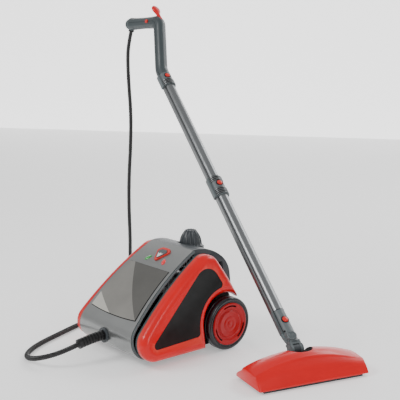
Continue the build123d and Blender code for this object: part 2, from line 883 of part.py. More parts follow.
def end_cap():
    start = grip_length - cap_depth
    frame = Plane(origin=elbow_place + grip_axis * start, x_dir=grip_side.cross(grip_axis), z_dir=grip_axis)
    cap = extrude(frame * Ellipse(handle_depth / 2 + 1, handle_width / 2 + 1), amount=cap_depth + 6)
    cap = fillet(cap.edges().sort_by(lambda edge: (edge.center() - elbow_place).dot(grip_axis))[-1:], 9)
    return cap - rod(hose_end(), hose_end_top(), handle_cuff_radius + running_gap)


def hose_end():
    return Vector(*hose_route[-1])


def hose_end_top():
    last_run = hose_end() - Vector(*hose_route[-2])
    return hose_end() + last_run.normalized() * handle_cuff_length


def handle_cuff():
    return rod(hose_end(), hose_end_top(), handle_cuff_radius)


# ---- floor head ----

def head_section(inset):
    """Side view of the head, across its long axis."""
    rear = head_rear + inset
    front = head_front - inset
    low = head_floor_gap
    crest = (head_crest, head_height - inset)
    lines = [
        Polyline((rear, low), (front, low), (front, low + 8)),
        ThreePointArc((front, low + 8), (head_crest + 38, head_height * 0.68 - inset), crest),
        ThreePointArc(crest, (head_rear + 22, head_height * 0.8 - inset), (rear, low + 22)),
        Line((rear, low + 22), (rear, low)),
    ]
    return make_face(Curve() + lines)


def head_arch(inset):
    """Front view of the head: its top line falls to the ends."""
    half = head_length / 2 - inset
    end = head_end_height - inset
    lines = [
        Polyline((-half, end), (-half, 0), (half, 0), (half, end)),
        ThreePointArc((half, end), (0, head_height + 0.5 - inset), (-half, end)),
    ]
    return make_face(Curve() + lines)


def head_solid(inset):
    frame = head_frame()
    ahead = Plane(origin=frame.origin - plan_direction * 100, x_dir=side_direction, z_dir=plan_direction)
    length = head_length - 2 * inset
    end = frame.origin - side_direction * (length / 2)
    section = Plane(origin=end, x_dir=-plan_direction, z_dir=side_direction)
    mirrored_section = mirror(head_section(inset), about=Plane.YZ)
    body = extrude(section * mirrored_section, amount=length)
    return body & extrude(ahead * head_arch(inset), amount=300)


def head_cover():
    frame = head_frame(notch_floor)
    shell = head_solid(0) - head_solid(head_wall)
    shell -= extrude(head_frame(head_floor_gap) * head_foot(head_wall), amount=head_wall + 1)
    notch_back = head_rear - 20
    notch = Rectangle(notch_front - notch_back, 2 * notch_half_width)
    notch = Pos((notch_front + notch_back) / 2, 0) * notch
    return shell - extrude(frame * notch, amount=100)


def head_foot(inset):
    length = head_front - head_rear - 2 * inset
    return Pos((head_front + head_rear) / 2, 0) * Rectangle(length, head_length - 2 * inset)


def head_base():
    plate = extrude(head_frame(head_floor_gap) * head_foot(head_wall), amount=base_thickness)
    lug_height = roll_axis_height + lug_radius - head_floor_gap
    lug = Box(lug_thickness, 2 * lug_radius, lug_height)
    for x in (-lug_reach, lug_reach):
        plate += head_frame(head_floor_gap) * (Pos(x, 0, lug_height / 2) * lug)
    plate -= roll_rod(roll_pin_radius + running_gap, lug_reach + 10)
    for x, y in head_screw_places():
        plate -= extrude(head_frame() * (Pos(x, y) * Circle(head_screw_radius + running_gap)), amount=40)
    return plate


def head_screw_places():
    across = head_length / 2 - 22
    return [(x, y) for y in (-across, across) for x in (head_rear + 16, head_front - 16)]


def head_screws():
    screws = []
    for x, y in head_screw_places():
        head = extrude(head_frame(head_floor_gap - 2) * (Pos(x, y) * Circle(3.5)), amount=2)
        shank = head_frame(head_floor_gap) * (Pos(x, y) * Circle(head_screw_radius))
        screws.append(head + extrude(shank, amount=12))
    return Part() + screws


def roll_rod(radius, half):
    place = Vector(pivot.X, pivot.Y, roll_axis_height)
    return extrude(Plane(origin=place, z_dir=plan_direction) * Circle(radius), amount=half, both=True)


def neck_yoke():
    barrel_half = lug_reach - lug_thickness / 2 - loose_gap
    barrel = roll_rod(lug_radius, barrel_half)
    tongue_frame = Plane(origin=pivot, x_dir=plan_direction, z_dir=side_direction)
    tongue = extrude(tongue_frame * Circle(ear_radius), amount=tongue_half_width, both=True)
    column_height = pivot.Z - roll_axis_height
    column = Box(2 * ear_radius - 8, 2 * tongue_half_width, column_height)
    column = head_frame(roll_axis_height) * (Pos(0, 0, column_height / 2) * column)
    yoke = barrel + column + tongue
    yoke -= roll_rod(roll_pin_radius + running_gap, 60)
    return yoke - extrude(tongue_frame * Circle(pitch_pin_radius + running_gap), amount=60, both=True)


def pitch_pin():
    frame = Plane(origin=pivot, x_dir=plan_direction, z_dir=side_direction)
    return extrude(frame * Circle(pitch_pin_radius), amount=ear_half_width, both=True)


def roll_pin():
    return roll_rod(roll_pin_radius, lug_reach + lug_thickness / 2)


def steam_bar():
    frame = head_frame(head_floor_gap + base_thickness)
    return frame * (Pos(head_crest + 12, 0, 5) * Box(14, head_length * 0.7, 10))


def brush_strips():
    strips = []
    for x in (head_rear + 8, head_crest - 18, head_crest + 30, head_front - 9):
        strip = Box(6, head_length - 30, head_floor_gap)
        strips.append(head_frame() * (Pos(x, 0, head_floor_gap / 2) * strip))
    return Part() + strips


# ---- hose ----

def bend_radii(points):
    """Each arc takes 0.45 of the shorter run beside its corner."""
    radii = []
    for before, here, after in zip(points, points[1:], points[2:]):
        run_in = Vector(*here) - Vector(*before)
        run_out = Vector(*after) - Vector(*here)
        half_turn = math.radians(run_in.get_angle(run_out)) / 2
        radii.append(0.45 * min(run_in.length, run_out.length) / math.tan(half_turn))
    return radii


def hose_path():
    return FilletPolyline(*hose_route, radius=bend_radii(hose_route))


def hose():
    path = hose_path()
    start = Plane(origin=hose_route[0], z_dir=Vector(*hose_route[1]) - Vector(*hose_route[0]))
    return sweep(start * Circle(hose_radius), path=path)


def hose_cuff():
    start = Vector(0, nose_y - nose_radius - socket_proud, socket_z)
    bend_point = start + Vector(0, -cuff_straight, 0)
    end = Vector(*hose_route[0])
    path = FilletPolyline(start, bend_point, end, radius=60)
    return sweep(Plane(origin=start, z_dir=(0, -1, 0)) * Circle(cuff_radius), path=path)


# ---- all the pieces by name ----

def paired(name, solid):
    return {name + "_right": solid, name + "_left": mirrored(solid)}


def all_pieces():
    pieces = {
        "chassis_base": chassis_base(),
        "body_screws": body_screws(),
        "front_cover": front_cover(),
        "facet_panel": facet_panel(),
        "rear_hood": rear_hood(),
        "rear_cover": rear_cover(),
        "mains_inlet": mains_inlet(),
        "boiler_tank": boiler_tank(),
        "boiler_brackets": boiler_brackets(),
        "heating_element": heating_element(),
        "steam_valve": steam_valve(),
        "steam_pipe": steam_pipe(),
        "control_board": control_board(),
        "hose_socket": hose_socket(),
        "switch_bezel": switch_bezel(),
        "power_switch": power_switch(),
        "lamp_ready": lamp(-1),
        "lamp_power": lamp(1),
        "wheel_axle": wheel_axle(),
        "caster_fork": caster_fork(),
        "caster_wheel": caster_wheel(),
        "caster_axle": caster_axle(),
        "cap_shell": cap_shell(),
        "cap_core": cap_core(),
    }
    pieces |= paired("side_panel", side_panel())
    pieces |= paired("side_window", side_window())
    pieces |= paired("side_trim", side_trim())
    pieces |= paired("tyre", tyre())
    pieces |= paired("wheel_hub", wheel_hub())
    body = handle_body()
    pieces |= {
        "handle_shell_left": handle_shell(body, Keep.BOTTOM),
        "handle_shell_right": handle_shell(body, Keep.TOP),
        "handle_end_cap": end_cap(),
        "handle_cuff": handle_cuff(),
        "handle_valve": handle_valve(),
        "trigger": trigger(),
        "trigger_pin": trigger_pin(),
        "lock_button": lock_button(),
        "upper_tube": upper_tube(),
        "lower_tube": lower_tube(),
        "tube_collar": tube_collar(),
        "connector": connector(),
        "steam_line": steam_line(),
        "latch_button_handle": latch_button(handle_button_place, collar_radius),
        "latch_button_collar": latch_button(collar_button_place, collar_radius),
        "latch_button_connector": latch_button(connector_button_place, tube_radius),
        "neck_yoke": neck_yoke(),
        "pitch_pin": pitch_pin(),
        "roll_pin": roll_pin(),
        "head_cover": head_cover(),
        "head_base": head_base(),
        "head_screws": head_screws(),
        "steam_bar": steam_bar(),
        "brush_strips": brush_strips(),
        "hose_cuff": hose_cuff(),
        "hose": hose(),
    }
    return pieces


def centre_shift(pieces):
    """Move the middle of everything but the hose over the origin, standing on Z = 0."""
    boxes = [solid.bounding_box() for name, solid in pieces.items() if name not in ("hose", "hose_cuff")]
    low_x, high_x = min(b.min.X for b in boxes), max(b.max.X for b in boxes)
    low_y, high_y = min(b.min.Y for b in boxes), max(b.max.Y for b in boxes)
    low_z = min(b.min.Z for b in boxes)
    return Vector(-(low_x + high_x) / 2, -(low_y + high_y) / 2, -low_z)


pieces = all_pieces()
shift = centre_shift(pieces)
os.makedirs("parts", exist_ok=True)
for name, solid in pieces.items():
    export_step(Pos(*shift) * solid, f"parts/{name}.step")
print("pieces", len(pieces), "shift", [round(v, 3) for v in shift])
print("hose length", round(hose_path().length, 1))
print("hose radii", [round(r) for r in bend_radii(hose_route)])
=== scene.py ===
import bpy
import bmesh
import json
import math
from mathutils import Vector, Matrix


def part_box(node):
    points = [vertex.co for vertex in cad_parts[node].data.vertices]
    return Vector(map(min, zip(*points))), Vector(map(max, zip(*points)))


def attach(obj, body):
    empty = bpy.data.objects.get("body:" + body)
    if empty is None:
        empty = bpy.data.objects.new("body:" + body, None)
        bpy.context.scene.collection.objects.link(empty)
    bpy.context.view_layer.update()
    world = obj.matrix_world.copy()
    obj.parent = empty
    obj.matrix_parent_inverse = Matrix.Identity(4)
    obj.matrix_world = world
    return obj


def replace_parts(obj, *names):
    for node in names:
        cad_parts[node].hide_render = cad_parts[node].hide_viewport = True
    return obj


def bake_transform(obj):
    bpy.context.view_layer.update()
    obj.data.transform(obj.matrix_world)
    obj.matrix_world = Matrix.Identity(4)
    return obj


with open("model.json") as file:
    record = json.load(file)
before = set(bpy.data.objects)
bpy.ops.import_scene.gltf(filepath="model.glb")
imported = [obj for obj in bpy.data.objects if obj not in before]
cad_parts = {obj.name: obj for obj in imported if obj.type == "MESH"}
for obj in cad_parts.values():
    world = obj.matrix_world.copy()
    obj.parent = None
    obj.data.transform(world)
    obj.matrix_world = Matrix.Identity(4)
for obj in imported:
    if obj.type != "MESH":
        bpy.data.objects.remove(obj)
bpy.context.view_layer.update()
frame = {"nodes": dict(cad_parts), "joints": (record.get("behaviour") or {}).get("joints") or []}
nodes = frame["nodes"]
joints = {joint["name"]: joint for joint in frame["joints"]}
mm = 0.001
print("frame loaded,", len(nodes), "nodes")

# Canister frame: x = 0 is its middle plane, its face looks along -Y, the floor is z = 0
socketLow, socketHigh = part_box("hose_socket")
canisterMiddle = Vector(((socketLow.x + socketHigh.x) / 2, socketLow.y + 0.186, 0))

# Wand frame: the pivot at the floor head, then the directions of the tube, its front and its side
up = Vector((0, 0, 1))
pivot = Vector(joints["head_pitch"]["pos_m"])
planDirection = Vector(joints["wand_push"]["axis"])
sideDirection = Vector(joints["head_pitch"]["axis"])
gripSide = Vector(joints["lock_press"]["axis"])
wandShape = {"lean": 52.5, "gripTurn": 20, "bend": 26.6, "gripBack": 40.9, "tube": 16.5}
wandLean = math.radians(wandShape["lean"])
gripTurn = math.radians(wandShape["gripTurn"])
wandAxis = up * math.cos(wandLean) - planDirection * math.sin(wandLean)
wandFront = planDirection * math.cos(wandLean) + up * math.sin(wandLean)
gripFront = wandFront * math.cos(gripTurn) + sideDirection * math.sin(gripTurn)


def onCanister(x, y, z):
    return canisterMiddle + Vector((x, y, z)) * mm


def onWand(distance, front=0, side=0):
    return pivot + (wandAxis * distance + wandFront * front + sideDirection * side) * mm


def onHead(forward, along, height):
    offset = planDirection * forward + sideDirection * along + up * height
    return Vector((pivot.x, pivot.y, 0)) + offset * mm


# Camera and light
cameraSetup = {"place": (1903.78, -1433.77, 821.49), "azimuth": 50.41, "down": 10.11, "lens": 81.87}


def makeCamera(setup):
    azimuth = math.radians(setup["azimuth"])
    down = math.radians(setup["down"])
    level = math.cos(down)
    back = Vector((math.sin(azimuth) * level, -math.cos(azimuth) * level, math.sin(down)))
    camera = bpy.data.objects.new("Camera", bpy.data.cameras.new("Camera"))
    bpy.context.scene.collection.objects.link(camera)
    camera.location = onCanister(*setup["place"])
    camera.rotation_mode = "QUATERNION"
    camera.rotation_quaternion = (-back).to_track_quat("-Z", "Y")
    camera.data.lens = setup["lens"]
    camera.data.sensor_width = 36
    camera.data.clip_end = 50
    bpy.context.scene.camera = camera


def addLight(name, place, target, size, power):
    light = bpy.data.lights.new(name, "AREA")
    light.shape = "RECTANGLE"
    light.size, light.size_y = size
    light.energy = power
    holder = bpy.data.objects.new(name, light)
    holder.location = place
    holder.rotation_mode = "QUATERNION"
    holder.rotation_quaternion = (Vector(target) - Vector(place)).to_track_quat("-Z", "Y")
    bpy.context.scene.collection.objects.link(holder)


def makeStudio():
    world = bpy.data.worlds.new("StudioWorld")
    bpy.context.scene.world = world
    world.use_nodes = True
    background = world.node_tree.nodes["Background"]
    background.inputs["Color"].default_value = (1, 1, 1, 1)
    background.inputs["Strength"].default_value = 0.62
    addLight("KeyLight", (-0.9, -2.6, 2.6), (0, 0, 0.25), (1.6, 1.0), 62)
    addLight("SideLight", (3.0, -0.6, 1.5), (0.1, 0, 0.3), (0.5, 2.0), 24)
    addLight("BackLight", (0.4, 2.6, 2.4), (0, 0, 0.3), (2.2, 1.0), 40)


makeCamera(cameraSetup)
makeStudio()

# Hose: its line first, because everything else is placed round it
hoseShape = {"radius": 7.0, "valley": 6.15, "pitch": 4.2, "step": 0.7, "sides": 18, "length": 1.88}
hoseRoute = [
    (-4, -262, 51), (-8, -304, 40), (-35, -343, 27), (-81, -356, 14), (-128, -343, 7), (-166, -303, 7),
    (-196, -250, 7), (-219, -197, 7), (-246, -136, 7), (-276, -62, 7), (-326, 14, 7), (-386, 84, 7),
    (-440, 164, 7), (-504, 240, 7), (-568, 298, 7), (-628, 344, 17), (-670, 374, 62), (-684, 385, 128),
    (-682, 380, 232), (-675, 377, 342), (-675, 386, 452), (-680, 393, 560), (-687, 390, 664),
    (-690, 389, 744), (-688, 391, 796), (-679, 397, 842),
]


def smoothLine(name, points):
    curve = bpy.data.curves.new(name, "CURVE")
    curve.dimensions = "3D"
    spline = curve.splines.new("NURBS")
    spline.points.add(len(points) - 1)
    for control, point in zip(spline.points, points):
        control.co = (*point, 1)
    spline.order_u = 3
    spline.use_endpoint_u = True
    spline.resolution_u = 24
    holder = bpy.data.objects.new(name, curve)
    bpy.context.scene.collection.objects.link(holder)
    bpy.context.view_layer.update()
    mesh = bpy.data.meshes.new_from_object(holder)
    line = [vertex.co.copy() for vertex in mesh.vertices]
    bpy.data.meshes.remove(mesh)
    bpy.data.objects.remove(holder)
    return line


def evenLine(line, step):
    # points along a line, about this far apart
    total = sum((b - a).length for a, b in zip(line, line[1:]))
    count = max(2, round(total / step))
    wanted = [total * i / count for i in range(count + 1)]
    points, walked, index = [], 0.0, 0
    for distance in wanted:
        while index < len(line) - 2 and walked + (line[index + 1] - line[index]).length < distance:
            walked += (line[index + 1] - line[index]).length
            index += 1
        run = line[index + 1] - line[index]
        share = (distance - walked) / run.length if run.length else 0
        points.append(line[index] + run * min(max(share, 0), 1))
    return points


# Materials
# Every finish is a Principled shader with its own tone variation, fine grain and lighter edges, which are wear, and on
# the red finish a painted highlight
finishes = {
    "bodyGrey": {"tone": (0.185, 0.190, 0.188), "rough": 0.30, "metal": 0.75, "grain": 1500, "depth": 0.05,
                 "coat": 0.15, "shift": 0.10, "wearAndSheen": 0.30},
    # the light and dark facet finishes are lit and shaded copies of the middle one: painted light and shade on the
    # facets
    "facetLight": {"tone": (0.52, 0.505, 0.46), "rough": 0.34, "metal": 0.45, "grain": 1700, "depth": 0.04,
                   "coat": 0.2},
    "facetMid": {"tone": (0.250, 0.243, 0.225), "rough": 0.32, "metal": 0.55, "grain": 1700, "depth": 0.04,
                 "coat": 0.2},
    "facetDark": {"tone": (0.110, 0.108, 0.100), "rough": 0.34, "metal": 0.55, "grain": 1700, "depth": 0.04,
                  "coat": 0.2},
    # the pale peach edge colour of the red finish is a painted highlight along its rounded edges
    "redGloss": {"tone": (0.62, 0.0015, 0.004), "rough": 0.32, "coat": 0.22, "gloss": 0.22, "grain": 260,
                 "depth": 0.05, "shift": 0.06, "wearAndSheen": 0.25, "edge": (1.0, 0.30, 0.20)},
    "redDeep": {"tone": (0.36, 0.001, 0.004), "rough": 0.32, "coat": 0.15, "gloss": 0.2, "grain": 300,
                "depth": 0.05},
    "ringRed": {"tone": (0.62, 0.012, 0.006), "rough": 0.3, "coat": 0.25, "grain": 500, "depth": 0.03},
    "windowSmoke": {"tone": (0.0045, 0.005, 0.005), "rough": 0.34, "coat": 0.12, "gloss": 0.3, "grain": 60,
                    "depth": 0.12, "shift": 0.6, "cloud": 26},
    # the black of dark joints, and also of painted shade in gaps, recesses and slots
    "seamAndShadeBlack": {"tone": (0.003, 0.003, 0.004), "rough": 0.55, "gloss": 0.25, "grain": 900, "depth": 0.05},
    "trimGrey": {"tone": (0.060, 0.078, 0.082), "rough": 0.40, "grain": 1200, "depth": 0.06, "wearAndSheen": 0.3, "coat": 0.1},
    "hoodDark": {"tone": (0.022, 0.027, 0.031), "rough": 0.42, "grain": 900, "depth": 0.12, "wearAndSheen": 0.35},
    "slate": {"tone": (0.040, 0.052, 0.056), "rough": 0.38, "grain": 1100, "depth": 0.09, "wearAndSheen": 0.35,
              "coat": 0.1},
    "capSlate": {"tone": (0.028, 0.034, 0.040), "rough": 0.32, "grain": 1100, "depth": 0.07, "wearAndSheen": 0.5,
                 "coat": 0.15},
    "tubeGrey": {"tone": (0.155, 0.162, 0.166), "rough": 0.28, "metal": 0.80, "grain": 1600, "depth": 0.04,
                 "wearAndSheen": 0.2},
    "railTeal": {"tone": (0.075, 0.098, 0.104), "rough": 0.36, "metal": 0.3, "grain": 1500, "depth": 0.04},
    "collarGrey": {"tone": (0.078, 0.092, 0.097), "rough": 0.40, "grain": 1200, "depth": 0.07, "wearAndSheen": 0.35},
    "tyreBlack": {"tone": (0.005, 0.006, 0.009), "rough": 0.26, "grain": 700, "depth": 0.06, "coat": 0.25,
                  "shift": 0.25},
    "hoseBlack": {"tone": (0.0035, 0.0035, 0.0045), "rough": 0.36, "gloss": 0.35, "grain": 1300, "depth": 0.05,
                  "coat": 0.2, "shift": 0.3},
    "steel": {"tone": (0.55, 0.55, 0.56), "rough": 0.28, "metal": 1.0, "grain": 700, "depth": 0.03, "shift": 0.1},
    "alloy": {"tone": (0.50, 0.50, 0.51), "rough": 0.5, "metal": 1.0, "grain": 900, "depth": 0.15},
    "brass": {"tone": (0.62, 0.42, 0.16), "rough": 0.35, "metal": 1.0, "grain": 800, "depth": 0.05},
    "boardGreen": {"tone": (0.010, 0.11, 0.04), "rough": 0.4, "grain": 500, "depth": 0.05, "shift": 0.3},
    "lampGreen": {"tone": (0.03, 0.42, 0.06), "rough": 0.15, "coat": 0.8, "grain": 500, "depth": 0.03, "shift": 0.4},
    "lampRed": {"tone": (0.80, 0.015, 0.02), "rough": 0.15, "coat": 0.8, "grain": 500, "depth": 0.03, "shift": 0.3},
    "rockerHighlightWhite": {"tone": (0.75, 0.76, 0.76), "rough": 0.35, "grain": 900, "depth": 0.03},
    "nylon": {"tone": (0.030, 0.030, 0.033), "rough": 0.6, "grain": 800, "depth": 0.4},
    "silicone": {"tone": (0.42, 0.42, 0.40), "rough": 0.45, "grain": 700, "depth": 0.05},
}
made = {}


def finish(name):
    if name in made:
        return made[name]
    facts = finishes[name]
    material = bpy.data.materials.new(name)
    material.use_nodes = True
    tree = material.node_tree
    shader = tree.nodes["Principled BSDF"]
    shader.inputs["Metallic"].default_value = facts.get("metal", 0)
    shader.inputs["Coat Weight"].default_value = facts.get("coat", 0)
    shader.inputs["Coat Roughness"].default_value = 0.12
    shader.inputs["Specular IOR Level"].default_value = facts.get("gloss", 0.4)
    shader.inputs["Emission Color"].default_value = (1, 1, 1, 1)
    shader.inputs["Emission Strength"].default_value = facts.get("glow", 0)
    place = tree.nodes.new("ShaderNodeTexCoord")
    cloud = tree.nodes.new("ShaderNodeTexNoise")
    cloud.inputs["Scale"].default_value = facts.get("cloud", 14)
    cloud.inputs["Detail"].default_value = 5
    tree.links.new(place.outputs["Object"], cloud.inputs["Vector"])
    tones = tree.nodes.new("ShaderNodeValToRGB")
    shift = facts.get("shift", 0.08)
    tone = Vector(facts["tone"])
    for stop, position, scale in zip(tones.color_ramp.elements, (0.3, 0.7), (1 - shift, 1 + shift)):
        stop.position = position
        stop.color = (*(tone * scale), 1)
    tree.links.new(cloud.outputs["Fac"], tones.inputs["Fac"])
    colour = tones.outputs["Color"]
    # edges made lighter by pointiness: wear, and on the red finish a painted highlight
    if facts.get("wearAndSheen"):
        edges = tree.nodes.new("ShaderNodeNewGeometry")
        band = tree.nodes.new("ShaderNodeMapRange")
        band.inputs["From Min"].default_value, band.inputs["From Max"].default_value = 0.53, 0.62
        band.inputs["To Max"].default_value = facts["wearAndSheen"]
        rubbedAndSheen = tree.nodes.new("ShaderNodeMix")
        rubbedAndSheen.data_type = "RGBA"
        rubbedAndSheen.inputs[7].default_value = (*facts.get("edge", tuple(min(1, 2.2 * t + 0.05) for t in tone)), 1)
        tree.links.new(edges.outputs["Pointiness"], band.inputs["Value"])
        tree.links.new(band.outputs["Result"], rubbedAndSheen.inputs[0])
        tree.links.new(colour, rubbedAndSheen.inputs[6])
        colour = rubbedAndSheen.outputs[2]
    tree.links.new(colour, shader.inputs["Base Color"])
    grain = tree.nodes.new("ShaderNodeTexNoise")
    grain.inputs["Scale"].default_value = facts["grain"]
    grain.inputs["Detail"].default_value = 3
    tree.links.new(place.outputs["Object"], grain.inputs["Vector"])
    polish = tree.nodes.new("ShaderNodeMapRange")
    polish.inputs["To Min"].default_value = facts["rough"] * 0.8
    polish.inputs["To Max"].default_value = facts["rough"] * 1.25
    tree.links.new(grain.outputs["Fac"], polish.inputs["Value"])
    tree.links.new(polish.outputs["Result"], shader.inputs["Roughness"])
    bump = tree.nodes.new("ShaderNodeBump")
    bump.inputs["Strength"].default_value = 0.5
    bump.inputs["Distance"].default_value = facts["depth"] * mm
    tree.links.new(grain.outputs["Fac"], bump.inputs["Height"])
    tree.links.new(bump.outputs["Normal"], shader.inputs["Normal"])
    made[name] = material
    return material


def dress(node, name):
    for place in nodes[node].material_slots:
        place.material = finish(name)


# Mesh helpers
def addPiece(name, points, faces, material, body, sharp=35):
    mesh = bpy.data.meshes.new(name)
    mesh.from_pydata([tuple(point) for point in points], [], faces)
    mesh.materials.append(finish(material))
    build = bmesh.new()
    build.from_mesh(mesh)
    bmesh.ops.recalc_face_normals(build, faces=build.faces)
    build.to_mesh(mesh)
    build.free()
    for face in mesh.polygons:
        face.use_smooth = True
    mesh.set_sharp_from_angle(angle=math.radians(sharp))
    piece = bpy.data.objects.new(name, mesh)
    bpy.context.scene.collection.objects.link(piece)
    if body:
        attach(piece, body)
    return piece


def loftPiece(name, rings, material, body, sharp=35, looped=False):
    # rings of points with equal counts, joined in order; a looped loft closes on its first ring
    count = len(rings[0])
    points = [point for ring in rings for point in ring]
    starts = list(range(0, len(points), count))
    faces = [] if looped else [list(range(count))[::-1], list(range(starts[-1], len(points)))]
    for low, high in zip(starts, starts[1:] + ([0] if looped else [])):
        faces += [[low + i, low + (i + 1) % count, high + (i + 1) % count, high + i] for i in range(count)]
    return addPiece(name, points, faces, material, body, sharp)


def arcPoints(x, y, radius, start, stop, step):
    # points on an arc about (x, y), with angles in degrees
    angles = [math.radians(degrees) for degrees in range(start, stop, step)]
    return [(x + radius * math.cos(angle), y + radius * math.sin(angle)) for angle in angles]


def crossAxes(axis):
    axis = Vector(axis).normalized()
    helper = up if abs(axis.z) < 0.9 else Vector((1, 0, 0))
    across = helper.cross(axis).normalized()
    return axis, across, axis.cross(across)


def turnedPiece(name, profile, centre, axis, material, body, segments=64, shape=None, sharp=35, across=None):
    # profile pairs are (along the axis, radius) in millimetres
    axis, first, second = crossAxes(axis)
    if across is not None:
        first = Vector(across).normalized()
        second = axis.cross(first)
    points, rings = [], []
    for index, (along, radius) in enumerate(profile):
        if radius < 0.001:
            points.append(centre + axis * along * mm)
            rings.append([len(points) - 1] * segments)
            continue
        ring = []
        for turn in range(segments):
            angle = 2 * math.pi * turn / segments
            alongHere, radiusHere = shape(index, angle, along, radius) if shape else (along, radius)
            spoke = first * math.cos(angle) + second * math.sin(angle)
            ring.append(len(points))
            points.append(centre + (axis * alongHere + spoke * radiusHere) * mm)
        rings.append(ring)
    closed = profile[0][1] > 0.001 and profile[-1][1] > 0.001
    pairs = list(zip(rings, rings[1:])) + ([(rings[-1], rings[0])] if closed else [])
    faces = []
    for low, high in pairs:
        for turn in range(segments):
            after = (turn + 1) % segments
            corners = list(dict.fromkeys([low[turn], low[after], high[after], high[turn]]))
            if len(corners) > 2:
                faces.append(corners)
    return addPiece(name, points, faces, material, body, sharp)


def lineFrames(line, firstSide):
    # at each point of a line: its direction, and two directions across it that never twist
    frames, side = [], Vector(firstSide)
    for index, point in enumerate(line):
        before, after = line[max(index - 1, 0)], line[min(index + 1, len(line) - 1)]
        along = (after - before).normalized()
        side = (side - along * side.dot(along)).normalized()
        frames.append((point, along, side, along.cross(side)))
    return frames


def sweptPiece(name, line, outline, material, body, firstSide, sides=24, sharp=35):
    # outline gives (first side, other side) in millimetres at a travelled length and an angle
    rings = []
    travelled = 0.0
    for index, (point, _, side, other) in enumerate(lineFrames(line, firstSide)):
        travelled += (point - line[index - 1]).length / mm if index else 0
        ring = []
        for turn in range(sides):
            x, y = outline(travelled, 2 * math.pi * turn / sides)
            ring.append(point + (side * x + other * y) * mm)
        rings.append(ring)
    return loftPiece(name, rings, material, body, sharp)


def platePiece(name, outline, place, thickness, bevel, material, body, segments=3):
    # a flat plate: outline in millimetres on a frame (origin, right, upward, outward)
    origin, right, upward, outward = place
    back = [origin + (right * x + upward * y) * mm for x, y in outline]
    plate = loftPiece(name, [back, [point + outward * thickness * mm for point in back]], material, body)
    rounding = plate.modifiers.new("Rounding", "BEVEL")
    rounding.width = bevel * mm
    rounding.segments = segments
    rounding.limit_method = "ANGLE"
    rounding.angle_limit = math.radians(40)
    rounding.harden_normals = False


print("tools ready")

# Hose, with its ribbed boots
def makeHose():
    route = [onCanister(*point) for point in hoseRoute]
    line = evenLine(smoothLine("HoseLine", route), hoseShape["step"] * mm)
    half = (hoseShape["radius"] - hoseShape["valley"]) / 2
    middleRadius = hoseShape["radius"] - half

    def ribbed(travelled, angle):
        wave = math.cos(2 * math.pi * travelled / hoseShape["pitch"])
        radius = middleRadius + half * math.copysign(abs(wave) ** 0.6, wave)
        return radius * math.cos(angle), radius * math.sin(angle)

    hose = sweptPiece("Hose", line, ribbed, "hoseBlack", None, (1, 0, 0),
                      hoseShape["sides"], 80)
    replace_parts(hose, "hose")
    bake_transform(hose)
    return hose, line


bootShape = {"radius": 11.4, "rib": 1.9, "pitch": 8.2, "ribShare": 0.55, "collar": 13.3,
             "collarLength": 9, "lip": 2.5, "steps": 120}


def makeSocketBoot():
    socket = onCanister(0, -186, 62)
    bendPoint = onCanister(0, -220, 62)
    end = onCanister(-4, -262, 51)
    line = []
    for i in range(bootShape["steps"] + 1):
        t = i / bootShape["steps"]
        line.append(socket * (1 - t) ** 2 + bendPoint * 2 * t * (1 - t) + end * t * t)
    total = sum((b - a).length for a, b in zip(line, line[1:])) / mm

    def boot(travelled, angle):
        toEnd = total - travelled
        if toEnd < bootShape["lip"]:
            radius = 8.0 + toEnd * 0.9
        elif toEnd < bootShape["lip"] + bootShape["collarLength"]:
            radius = bootShape["collar"]
        else:
            onRib = (travelled % bootShape["pitch"]) / bootShape["pitch"] < bootShape["ribShare"]
            radius = bootShape["radius"] + (bootShape["rib"] if onRib else 0)
        return radius * math.cos(angle), radius * math.sin(angle)

    cuff = sweptPiece("SocketBoot", line, boot, "hoseBlack", "canister", (1, 0, 0), 36, 30)
    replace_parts(cuff, "hose_cuff")
    return cuff


def makeHandleBoot():
    start = onCanister(*hoseRoute[-1])
    direction = (start - onCanister(*hoseRoute[-2])).normalized()
    profile = [(0, 7.4), (0, 8.8)]
    for rib in range(4):
        low = 0.8 + rib * 5.2
        profile += [(low, 9.2), (low + 0.5, 10.4), (low + 2.8, 10.4), (low + 3.3, 9.2)]
    profile += [(21.8, 9.4), (21.8, 7.4)]
    cuff = turnedPiece("HandleBoot", profile, start, direction, "hoseBlack", "wand", 36,
                       sharp=30)
    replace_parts(cuff, "handle_cuff")


hose, hoseLine = makeHose()
socketBoot = makeSocketBoot()
makeHandleBoot()
print("hose made")


# Front slope of the canister
slopeShape = {"noseY": -131, "noseZ": 68, "noseRadius": 50, "noseAngle": 139, "crownY": 44, "crownZ": 269,
              "halfWidth": 126.9, "taper": 0.14}


def slopeArc(shape):
    angle = math.radians(shape["noseAngle"])
    nose = Vector((shape["noseY"], shape["noseZ"]))
    start = nose + Vector((math.cos(angle), math.sin(angle))) * shape["noseRadius"]
    tangent = Vector((math.sin(angle), -math.cos(angle)))
    chord = Vector((shape["crownY"], shape["crownZ"])) - start
    normal = Vector((tangent.y, -tangent.x))
    radius = chord.length_squared / (2 * chord.dot(normal))
    centre = start + normal * radius
    startAngle = math.atan2(start.y - centre.y, start.x - centre.x)
    endAngle = math.atan2(shape["crownZ"] - centre.y, shape["crownY"] - centre.x)
    return centre, radius, startAngle, endAngle


arcCentre, arcRadius, arcLow, arcHigh = slopeArc(slopeShape)
slopeLength = arcRadius * abs(arcLow - arcHigh)


def seamAt(height):
    # half width of the front cover at this height, up to the gap beside each red side
    return slopeShape["halfWidth"] - slopeShape["taper"] * height


